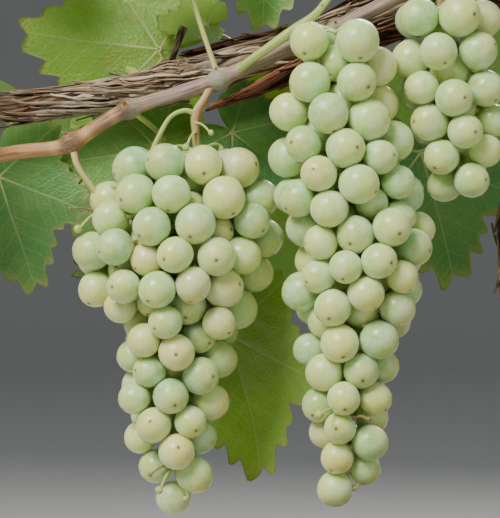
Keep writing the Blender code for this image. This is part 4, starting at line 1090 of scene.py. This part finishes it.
def hold_inside(berry, outline):
    """Brings a berry that was pushed out of its bunch's outline back to it."""
    radius = berry[3]
    berry[2] = min(max(berry[2], outline[-1][0] + BERRY_LOW * radius), outline[0][0] - BERRY_LOW * radius)
    x, y, half_width, half_depth = outline_at(outline, berry[2])
    a, b = max(half_width - radius, NARROWEST * radius), max(half_depth - radius, NARROWEST * radius)
    reach = math.hypot((berry[0] - x) / a, (berry[1] - y) / b)
    if reach > BERRY_BULGE:
        berry[0] = x + (berry[0] - x) * BERRY_BULGE / reach
        berry[1] = y + (berry[1] - y) * BERRY_BULGE / reach


def spread_apart(bunches, outlines):
    """Moves berries of all bunches off each other, so that neighbours only press together lightly."""
    berries = [(berry, which) for which, bunch in enumerate(bunches) for berry in bunch]
    for spread_round in range(SPREAD_ROUNDS):
        for i, (one, first) in enumerate(berries):
            for other, second in berries[i + 1:]:
                reach = one[3] + other[3]
                least = reach * BERRY_TOUCH if first == second else reach + GAP
                offset = [b - a for a, b in zip(one[:3], other[:3])]
                distance = math.sqrt(sum(d * d for d in offset))
                if distance < least:
                    push = 0.5 * (least - distance) / max(distance, 1e-6)
                    for axis in range(3):
                        one[axis] -= push * offset[axis]
                        other[axis] += push * offset[axis]
        if spread_round < HELD_ROUNDS:
            for berry, which in berries:
                hold_inside(berry, outlines[which])


def inner_berries(outline, seed):
    """Berries deeper in a bunch, which close the gaps between the outer ones."""
    draw = random.Random(seed)
    found = []
    height = outline[1][0] - BERRY_RADIUS
    while height > outline[-3][0]:
        x, y, half_width, half_depth = outline_at(outline, height)
        a, b = half_width - 2.7 * BERRY_RADIUS, half_depth - 2.6 * BERRY_RADIUS
        if a > 0:
            around = 2 * math.pi * math.sqrt((a * a + max(b, 0) ** 2) / 2)
            count = max(1, round(around / (2.2 * BERRY_RADIUS)))
            for k in range(count):
                angle = draw.uniform(0, 0.6) + 2 * math.pi * k / count
                found.append([x + a * math.cos(angle), y + max(b, 0) * math.sin(angle), height,
                              BERRY_RADIUS * draw.uniform(0.8, 0.95)])
        height -= 2.0 * BERRY_RADIUS
    return found


def fit_between(deep, outer):
    """The deeper berries, each as small as the outer ones beside it leave room for."""
    fitted = []
    for x, y, height, radius in deep:
        room = min(math.dist((x, y, height), near[:3]) - near[3] for near in outer) + HIDDEN_TOUCH
        if room > LEAST_HIDDEN * BERRY_RADIUS:
            fitted.append([x, y, height, min(radius, room)])
    return fitted


def berry_shape():
    """A unit berry: +Z is the tip with its small sunken scar, -Z the end on the stalk."""
    sides = 22
    steps = [0.045, 0.09, 0.15, 0.24, 0.38]
    steps += [0.38 + (math.pi - 0.66) * k / 11 for k in range(1, 12)] + [math.pi - 0.12]
    verts = [(0.0, 0.0, 0.972)]
    for polar in steps:
        scar = 0.030 * math.exp(-((polar / 0.075) ** 2))
        reach = 1.0 - scar - 0.05 * math.exp(-(((math.pi - polar) / 0.30) ** 2))
        for k in range(sides):
            x, y = round_spot(reach * math.sin(polar), 2 * math.pi * k / sides)
            verts.append((x, y, reach * math.cos(polar)))
    rings = len(steps)
    faces = [(0, 1 + k, 1 + (k + 1) % sides) for k in range(sides)]
    faces += ring_faces(rings, sides, 1, inward=True)
    faces.append(tuple(1 + (rings - 1) * sides + k for k in range(sides - 1, -1, -1)))
    return np.array(verts), faces


def add_berry(parts, shape, centre, radius, away, draw):
    """One berry, slightly uneven, with its tip pointing away and its own tone and warmth."""
    verts, faces = shape
    spin = Matrix.Rotation(draw.uniform(0, 6.28), 3, "Z")
    turn = np.array(away.to_track_quat("Z", "Y").to_matrix() @ spin)
    lump = 1 + 0.012 * np.sin(verts @ np.array([draw.uniform(1, 3) for _ in range(3)]) + draw.uniform(0, 6))
    body = verts * lump[:, None] * (1.0, draw.uniform(0.975, 1.0), draw.uniform(0.985, 1.045))
    spots = np.array(centre) + radius * body @ turn.T
    pole = verts[:, 2] / np.linalg.norm(verts, axis=1)
    tone, warm = draw.uniform(0, 1), draw.uniform(0, 1)
    berry = np.stack([np.full(len(verts), tone), np.clip(pole, 0, 1), np.full(len(verts), warm)], axis=1)
    parts.add(spots, faces, berry=berry)


def make_bunch(name, outline, berries, hidden, rows, berry, green, seed):
    """One bunch: its berries in one piece, and its stalk, branches and pedicels in another."""
    draw = random.Random(seed)
    shape = berry_shape()
    skins, stems = Parts(), Parts()
    stalk_rows = at_height(rows, STALK_RADIUS)
    entry = rows[-1][2]
    spine = [(x, y, SOIL_TOP + height, STALK_RADIUS * (0.95 - 0.55 * i / len(outline)))
             for i, (height, x, y, _, _) in enumerate(outline) if height < entry - 0.006]
    add_green(stems, np.vstack([stalk_rows, spine]), 0.0012, 16, (1.0, 0.3), (0.15, 0.45))
    for x, y, height, radius in berries + hidden:
        centre = Vector((x, y, SOIL_TOP + height))
        mid_x, mid_y, _, _ = outline_at(outline, height + 0.4 * BERRY_RADIUS)
        out = Vector((x - mid_x, y - mid_y, 0))
        out = out.normalized() if out.length > 1e-4 else Vector((0, 0, -1))
        lean = Vector((draw.uniform(-0.6, 0.6), draw.uniform(-0.6, 0.6), draw.uniform(-1.1, 0.25)))
        away = (out * 0.9 + lean).normalized()
        add_berry(skins, shape, centre, radius, away, draw)
        base = centre - away * radius * 0.955
        root_height = min(height + 1.1 * BERRY_RADIUS, outline[0][0] - 0.002)
        root_x, root_y, _, _ = outline_at(outline, root_height)
        root = Vector((root_x, root_y, SOIL_TOP + root_height))
        if (root - base).length < 0.002 or root.z > stalk_rows[0][2]:
            continue
        path = bezier(root, base - away * 0.006, base, 8)
        thick = [PEDICEL_RADIUS * (1.25 if i == 0 else 1.0 + 1.3 * max(0, i - 6) / 2) for i in range(9)]
        add_green(stems, np.column_stack([path, thick]), 0.0009, 8, 0.08, (0.5, 0.8), ribs=0.00002)
    skins.piece(name + "_skins", berry, ("berries_" + name,), "berry_skin")
    stems.piece(name + "_stalk", green, ("stalk_" + name,), "green_stem")


def add_small_berry(parts, base, size, away):
    """A berry that never grew, or the dried end of a pedicel, on its own short stalk."""
    tip = base + away
    bend = base + 0.5 * away + Vector((0, 0, 0.25 * away.length))
    path = bezier(base, bend, tip, 6)
    brown = 0.8 if size < PEDICEL_RADIUS * 2 else 0.0
    add_green(parts, np.column_stack([path, np.full(7, 0.8 * PEDICEL_RADIUS)]), 0.0008, 8, 0.1, 0.6, brown)
    way = away.normalized()
    ends = [(*(tip + way * size * (1 - math.cos(a))), size * math.sin(a) + 0.00005)
            for a in np.linspace(0.15, math.pi - 0.05, 9)]
    add_green(parts, np.array(ends), 0.0005, 14, 0.05, 0.5, brown, flare=0.0)


def make_bunches(berry, green):
    """The three bunches, the side stalks and what failed to grow on them."""
    outlines = (LEFT_OUTLINE, RIGHT_OUTLINE, THIRD_OUTLINE)
    stalks = (LEFT_STALK, RIGHT_STALK, THIRD_STALK)
    names, seeds = ("left", "right", "third"), (101, 102, 103)
    bunches = [place_berries(outline, seed) for seed, outline in enumerate(outlines, start=1)]
    spread_apart(bunches, outlines)
    outer = [placed for bunch in bunches for placed in bunch]
    for name, outline, bunch, rows, seed in zip(names, outlines, bunches, stalks, seeds):
        hidden = fit_between(inner_berries(outline, seed), outer)
        make_bunch(name, outline, bunch, hidden, rows, berry, green, seed)
    parts = Parts()
    add_green(parts, at_height(LEFT_WING, STALK_RADIUS), 0.0010, 14, (0.3, 0.1), (0.3, 0.6))
    add_green(parts, at_height(NODE_STALK, STALK_RADIUS), 0.0010, 16, (0.9, 0.3), (0.5, 0.7))
    for x, y, height, size, away in SMALL_BERRIES:
        add_small_berry(parts, Vector((x, y, SOIL_TOP + height)), size, Vector(away))
    parts.piece("side_stalks", green, ("stalk_node",), "green_stem")


# ---------------------------------------------------------------- leaves


def leaf_reach(degrees):
    """How far the edge lies from the end of the petiole, as a share of the leaf's length."""
    angles = np.array([row[0] for row in LEAF_EDGE] + [180])
    reaches = np.array([row[1] for row in LEAF_EDGE] + [0.07])
    degrees = np.abs(degrees)
    spot = np.clip(np.searchsorted(angles, degrees, side="right") - 1, 0, len(angles) - 2)
    share = (degrees - angles[spot]) / (angles[spot + 1] - angles[spot])
    share = 0.5 * share + 0.5 * (3 * share ** 2 - 2 * share ** 3)
    return reaches[spot] + share * (reaches[spot + 1] - reaches[spot])


def leaf_teeth(count, draw):
    """Directions round a leaf and the toothed edge's reach in each: teeth lean towards the lobe tips."""
    degrees = np.linspace(-178, 178, 5 * count + 1)
    reach = leaf_reach(degrees)
    pattern = np.array([0.0, 0.45, 0.85, 1.0, 0.25])
    shape = np.append(np.tile(pattern, count), 0.0)
    shape[degrees < 0] = np.append(np.tile(pattern[::-1], count), 0.0)[degrees < 0]
    sizes = np.repeat([draw.uniform(0.6, 1.25) for _ in range(count)], 5)
    depth = 0.115 * np.append(sizes, 1.0) * np.clip(reach * 1.2, 0.2, 1.0)
    return degrees, reach * (1 - 0.5 * depth + depth * shape)


def leaf_lift(u, v, length, fold, droop, phase):
    """How far the blade stands off its plane: folded on the midrib, drooping, waved and curled in its outer
    half.
    """
    reach = np.hypot(u, v)
    angle = np.arctan2(u, v)
    wave = 0.075 * length * (reach / length) ** 2.5 * np.sin(4.0 * angle + phase)
    curl = 0.42 * length * np.clip(reach / length - 0.52, 0, 1) ** 1.6 * np.sin(2.0 * angle + 1.7 * phase)
    return fold * np.abs(u) - droop * reach ** 2 / length + wave + curl


def main_vein_gap(u, v):
    """Distance from the nearest main vein."""
    reach, angle = np.hypot(u, v), np.degrees(np.abs(np.arctan2(u, v)))
    gaps = []
    for lobe in LOBES:
        off = angle - lobe
        gaps.append(np.where(np.abs(off) < 60, reach * np.abs(np.sin(np.radians(off))), 1.0))
    return np.minimum.reduce(gaps)


def blade_faces(count, layer):
    """Faces of a blade's two sheets, with LEAF_RINGS rows of count corners each, and of its thin edge."""
    faces = []
    for base, flip in ((0, False), (layer, True)):
        for j in range(LEAF_RINGS - 1):
            for k in range(count - 1):
                a = base + j * count + k
                quad = (a, a + 1, a + 1 + count, a + count)
                faces.append(quad if flip else quad[::-1])
        for k in range(count - 1):
            tri = (base + layer - 1, base + k + 1, base + k)
            faces.append(tri if flip else tri[::-1])
    last = (LEAF_RINGS - 1) * count
    rim = [layer - 1] + [j * count for j in range(LEAF_RINGS)] + [last + k for k in range(1, count)]
    rim += [j * count + count - 1 for j in range(LEAF_RINGS - 2, -1, -1)]
    for a, b in zip(rim, rim[1:] + rim[:1]):
        faces.append((a, b, b + layer, a + layer))
    return faces


def add_petiole(parts, start, tip, along, out):
    """The leaf's stalk, from its shoot to the blade in one bend."""
    bend = PETIOLE_BEND * float(np.linalg.norm(tip - start))
    control = tip - bend * np.array(along + out)
    path = bezier(start, control, tip - 0.0004 * np.array(out), 14)
    thick = PETIOLE_RADIUS * (1.0 + 0.45 * np.abs(np.linspace(-1, 1, 15)) ** 4)
    add_green(parts, np.column_stack([path, thick]), 0.0012, 12, (0.65, 0.25), (0.35, 0.6), ribs=0.00006)


def add_ribs(parts, tip, axes, length, fold, droop, phase):
    """The raised main veins under a blade."""
    for lobe in (LOBES[0], LOBES[1], -LOBES[1], LOBES[2], -LOBES[2]):
        length_out = 0.80 * length * float(leaf_reach(np.array([abs(lobe)]))[0])
        t = np.linspace(0.0, 1.0, 12)
        u = t * length_out * math.sin(math.radians(lobe))
        v = t * length_out * math.cos(math.radians(lobe))
        rise = leaf_lift(u, v, length, fold, droop, phase) - 0.0004
        spots = tip + np.stack([u, v, rise], axis=1) @ axes
        rib = np.column_stack([spots, 0.00055 * (1.05 - 0.8 * t)])
        add_green(parts, rib, 0.003, 6, 0.1, 0.75, ribs=0.0)


def make_leaf(row, look, green):
    """A blade of two sheets joined at a thin edge, and its petiole."""
    name, stem, point, end, aim, face, length, fold, droop, yellow, age = row
    draw = random.Random(name)
    along, out = Vector(aim).normalized(), Vector(face)
    out = (out - out.dot(along) * along).normalized()
    axes = np.array([along.cross(out), along, out])
    tip = np.array((end[0], end[1], SOIL_TOP + end[2]))
    degrees, edge = leaf_teeth(LEAF_TEETH if length > SMALL_LEAF else SMALL_LEAF_TEETH, draw)
    count, phase = len(degrees), draw.uniform(0, 6.28)
    share = (np.arange(1, LEAF_RINGS + 1) / LEAF_RINGS) ** 0.85
    blend = np.repeat(share, count)
    toothed = (share[:, None] * edge[None, :] * length).ravel()
    even = (share[:, None] * (leaf_reach(degrees) * length)[None, :]).ravel()
    reach = even + (toothed - even) * blend ** 6
    angle = np.tile(np.radians(degrees), LEAF_RINGS)
    u, v = np.append(reach * np.sin(angle), 0.0), np.append(reach * np.cos(angle), 0.0)
    lift, gap = leaf_lift(u, v, length, fold, droop, phase), main_vein_gap(u, v)
    near = np.exp(-((gap / 0.0009) ** 2)) * np.clip(1.1 - np.hypot(u, v) / length, 0, 1)
    pucker = 0.0007 * noise_at(np.stack([u, v, np.full(len(u), phase)], axis=1), 130, phase)
    pucker *= np.clip(gap / 0.004, 0, 1) * np.clip(4 * (1 - np.append(blend, 0)), 0, 1)
    half = LEAF_HALF + 0.00010 * near
    sheets, place = [], []
    for side, offset in ((1.0, half - 0.0003 * near), (0.0, -half - 0.00045 * near)):
        sheets.append(tip + np.stack([u, v, lift + pucker + offset], axis=1) @ axes)
        place.append(np.stack([u / length, v / length, np.full(len(u), side)], axis=1))
    fields = {
        "leaf_place": np.vstack(place),
        "leaf_tone": np.tile((yellow, age, draw.random()), (2 * len(u), 1)),
        "edge": np.tile(np.append(blend, 0.0), 2),
    }
    faces = blade_faces(count, len(u))
    piece_from(name + "_blade", np.vstack(sheets), faces, look, (name,), fields)
    parts = Parts()
    add_petiole(parts, at_height(stem, 1)[point][:3], tip, along, out)
    add_ribs(parts, tip, axes, length, fold, droop, phase)
    parts.piece(name + "_petiole", green, (), "green_stem")


# ---------------------------------------------------------------- pot and soil


def turned_mesh(profile, sides):
    """Vertices and faces turned from a profile that starts and ends on the axis."""
    verts = [(0, 0, profile[0][1]), (0, 0, profile[-1][1])]
    for radius, height in profile[1:-1]:
        verts += [(*round_spot(radius, 2 * math.pi * k / sides), height) for k in range(sides)]
    rings = len(profile) - 2
    faces = ring_faces(rings, sides, 2)
    last = 2 + (rings - 1) * sides
    for k in range(sides):
        faces.append((0, 2 + (k + 1) % sides, 2 + k))
        faces.append((1, last + k, last + (k + 1) % sides))
    return np.array(verts, float), faces


def rounded_profile(points):
    """The corners (radius, height, rounding) as a line with each corner turned in an arc."""
    out = []
    for i, (r, z, soft) in enumerate(points):
        here = np.array((r, z))
        if soft == 0 or i in (0, len(points) - 1):
            out.append(here)
            continue
        before = np.array(points[i - 1][:2]) - here
        after = np.array(points[i + 1][:2]) - here
        a = here + before / np.linalg.norm(before) * soft
        b = here + after / np.linalg.norm(after) * soft
        for t in np.linspace(0, 1, 6):
            out.append((1 - t) ** 2 * a + 2 * t * (1 - t) * here + t * t * b)
    dense = [out[0]]
    for start, end in zip(out, out[1:]):
        runs = max(1, int(np.linalg.norm(end - start) / 0.006))
        dense += [start + (end - start) * (k + 1) / runs for k in range(runs)]
    return dense


def make_pot(look):
    """The clay pot, a little uneven from the wheel, with its drain holes cut through."""
    band, _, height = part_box("pot")[1]
    slope = (POT_BODY - POT_FOOT) / height
    points = (
        (0, 0, 0),
        (POT_FOOT, 0, 0.005),
        (POT_FOOT + slope * (height - POT_BAND), height - POT_BAND, 0.0015),
        (band, height - BAND_UNDER, 0.004),
        (band, height, 0.0045),
        (POT_FOOT + slope * height - POT_WALL, height, 0.004),
        (POT_FOOT + slope * POT_FLOOR - POT_WALL, POT_FLOOR, 0.006),
        (0, POT_FLOOR, 0),
    )
    verts, faces = turned_mesh(rounded_profile(points), 160)
    away = np.hypot(verts[:, 0], verts[:, 1])
    wobble = 1 + 0.0025 * noise_at(verts, 9, 1) + 0.0010 * noise_at(verts * (0.1, 0.1, 1), 160, 2)
    inside = (verts[:, 2] > 0.001) & (verts[:, 2] < height - 0.0005)
    scale = np.where(inside, np.minimum(wobble, band / np.maximum(away, 1e-6)), 1.0)
    verts[:, :2] *= scale[:, None]
    mouth = np.exp(-(((verts[:, 2] - height) / 0.02) ** 2))
    wear = np.clip(1.25 - verts[:, 2] / height, 0.15, 1.0) + 0.5 * mouth
    pot = piece_from("clay_pot", verts, faces, look, ("pot",), {"wear": np.clip(wear, 0, 1)})
    for k in range(DRAIN_COUNT):
        cut_hole(pot, round_spot(DRAIN_OUT, 2 * math.pi * (k + 0.5) / DRAIN_COUNT))


def cut_hole(pot, spot):
    """Drills one drain hole through the pot's floor."""
    mesh = bpy.data.meshes.new("drill")
    bm = bmesh.new()
    place = Matrix.Translation((*spot, POT_FLOOR / 2))
    bmesh.ops.create_cone(bm, cap_ends=True, segments=28, radius1=DRAIN_RADIUS, radius2=DRAIN_RADIUS,
                          depth=3 * POT_FLOOR, matrix=place)
    bm.to_mesh(mesh)
    bm.free()
    drill = bpy.data.objects.new("drill", mesh)
    bpy.context.collection.objects.link(drill)
    cut = pot.modifiers.new("hole", "BOOLEAN")
    cut.operation, cut.solver, cut.object = "DIFFERENCE", "EXACT", drill
    graph = bpy.context.evaluated_depsgraph_get()
    pot.data = bpy.data.meshes.new_from_object(pot.evaluated_get(graph), depsgraph=graph)
    pot.modifiers.clear()
    bpy.data.objects.remove(drill, do_unlink=True)


def add_crumbs(parts, reach_most):
    """Loose crumbs, and now and then a pale grain of perlite, scattered over the soil."""
    draw = random.Random(17)
    ball = bmesh.new()
    bmesh.ops.create_icosphere(ball, subdivisions=2, radius=1)
    unit = np.array([v.co[:] for v in ball.verts])
    faces = [tuple(v.index for v in f.verts) for f in ball.faces]
    ball.free()
    for _ in range(CRUMBS):
        angle, reach = draw.uniform(0, 6.28), math.sqrt(draw.uniform(0.02, 0.93)) * reach_most
        if reach < TRUNK_CLEAR:
            continue
        size = draw.uniform(0.0008, 0.0030) * (1.7 if draw.random() < 0.07 else 1)
        pale = draw.random()
        lumps = 1 + 0.35 * noise_at(unit, 1.4, draw.uniform(0, 50))
        shape = unit * lumps[:, None] * (1, draw.uniform(0.6, 1), draw.uniform(0.45, 0.8))
        spot = np.array((*round_spot(reach, angle), SOIL_TOP - 0.0025 + 0.3 * size))
        turn = np.array(Matrix.Rotation(angle * 3, 3, "Z"))
        crumb = 1.0 if pale > 0.95 else 0.3 + 0.35 * pale
        parts.add(spot + size * shape @ turn.T, faces, crumb=crumb)


def make_soil(look):
    """The soil with its heaped and crumbled surface, and what lies loose on it."""
    low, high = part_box("soil")
    edge = high[0] - 0.0008
    profile = [(0, low[2]), (SOIL_FOOT, low[2]), (edge, SOIL_TOP - 0.006)]
    profile += [(edge * (1 - k / SOIL_RINGS) ** 0.9, SOIL_TOP - 0.004) for k in range(1, SOIL_RINGS)]
    profile.append((0, SOIL_TOP - 0.002))
    verts, faces = turned_mesh(profile, 150)
    top = verts[:, 2] > SOIL_TOP - 0.0065
    heap = 0.004 * np.exp(-((np.hypot(verts[:, 0], verts[:, 1]) / 0.045) ** 2))
    rough = 0.0022 * noise_at(verts, 45, 3) + 0.0013 * noise_at(verts, 170, 4)
    rough += 0.0008 * noise_at(verts, 420, 5)
    verts[:, 2] += np.where(top, np.clip(heap + rough, -0.004, 0.005), 0)
    parts = Parts()
    parts.add(verts, faces, crumb=0.5 + 0.5 * noise_at(verts, 240, 6))
    add_crumbs(parts, high[0] - 0.004)
    parts.piece("soil_surface", look, ("soil",), "soil")


# ---------------------------------------------------------------- stage


def make_stage():
    """A pale floor that curves up into a wall all round."""
    verts, sides = [(0, 0, 0)], 96
    rings = [(2, 0), (5, 0), (8, 0)]
    rings += [(8 + 4 * math.sin(a), 4 - 4 * math.cos(a)) for a in np.linspace(0.15, 1.57, 12)]
    rings.append((12, 12))
    for radius, height in rings:
        verts += [(*round_spot(radius, 2 * math.pi * k / sides), height) for k in range(sides)]
    faces = [(0, 1 + k, 1 + (k + 1) % sides) for k in range(sides)]
    faces += ring_faces(len(rings), sides, 1, inward=True)
    mesh = bpy.data.meshes.new("studio")
    mesh.from_pydata(verts, [], faces)
    mesh.shade_smooth()
    n = Nodes("studio_paper")
    mesh.materials.append(n.set(color=(0.42, 0.43, 0.42), roughness=0.9, specular=0.1))
    studio = bpy.data.objects.new("studio", mesh)
    bpy.context.collection.objects.link(studio)


def add_light(name, spot, target, size, power, color):
    """A round lamp that faces its target."""
    data = bpy.data.lights.new(name, "AREA")
    data.shape, data.size, data.energy, data.color = "DISK", size, power, color
    light = bpy.data.objects.new(name, data)
    light.location = spot
    light.rotation_mode = "QUATERNION"
    light.rotation_quaternion = (Vector(target) - Vector(spot)).to_track_quat("-Z", "Y")
    bpy.context.collection.objects.link(light)


def make_lights():
    """A large warm key light, a weak fill, a back light and an even pale surround."""
    heart = (-0.10, 0.0, 0.42)
    add_light("key", (-1.3, -1.7, 2.4), heart, 1.4, 128, (1.0, 0.98, 0.94))
    add_light("fill", (1.9, -1.6, 1.0), heart, 1.6, 14, (0.93, 0.97, 1.0))
    add_light("back", (0.5, 1.9, 2.0), heart, 1.2, 70, (1.0, 0.98, 0.92))
    world = bpy.data.worlds.new("studio_air")
    world.use_nodes = True
    world.node_tree.nodes["Background"].inputs[0].default_value = (0.93, 0.96, 1.0, 1)
    world.node_tree.nodes["Background"].inputs[1].default_value = 0.42
    bpy.context.scene.world = world


def make_camera():
    """Level with the arm and the bunches, looking along +Y, close enough for them to fill the picture."""
    view_width, distance = 0.220, 1.0
    subject_x, subject_y, subject_height = -0.130, -0.020, 0.188
    data = bpy.data.cameras.new("camera")
    data.sensor_fit = "HORIZONTAL"
    data.sensor_width = 36
    data.lens = data.sensor_width * distance / view_width
    camera = bpy.data.objects.new("camera", data)
    camera.location = (subject_x, subject_y - distance, SOIL_TOP + subject_height)
    camera.rotation_euler = (math.radians(90), 0, 0)
    bpy.context.collection.objects.link(camera)
    bpy.context.scene.camera = camera


def main():
    make_camera()
    make_stage()
    make_lights()
    berry, green = berry_look(), green_look()
    bark = bark_look("old_bark", (0.022, 0.014, 0.009), (0.25, 0.165, 0.10), (0.62, 0.49, 0.34), 420, 0.45)
    red_bark = bark_look("red_bark", (0.030, 0.010, 0.006), (0.22, 0.075, 0.040), (0.42, 0.20, 0.12),
                         560, 0.15)
    leaf = leaf_look()
    make_old_wood(bark)
    make_old_canes(red_bark)
    make_spur(bark)
    make_cane(cane_look())
    make_shoots(green)
    make_tendrils(green)
    make_bunches(berry, green)
    for row in LEAVES:
        make_leaf(row, leaf, green)
    make_pot(terracotta_look())
    make_soil(soil_look())


main()
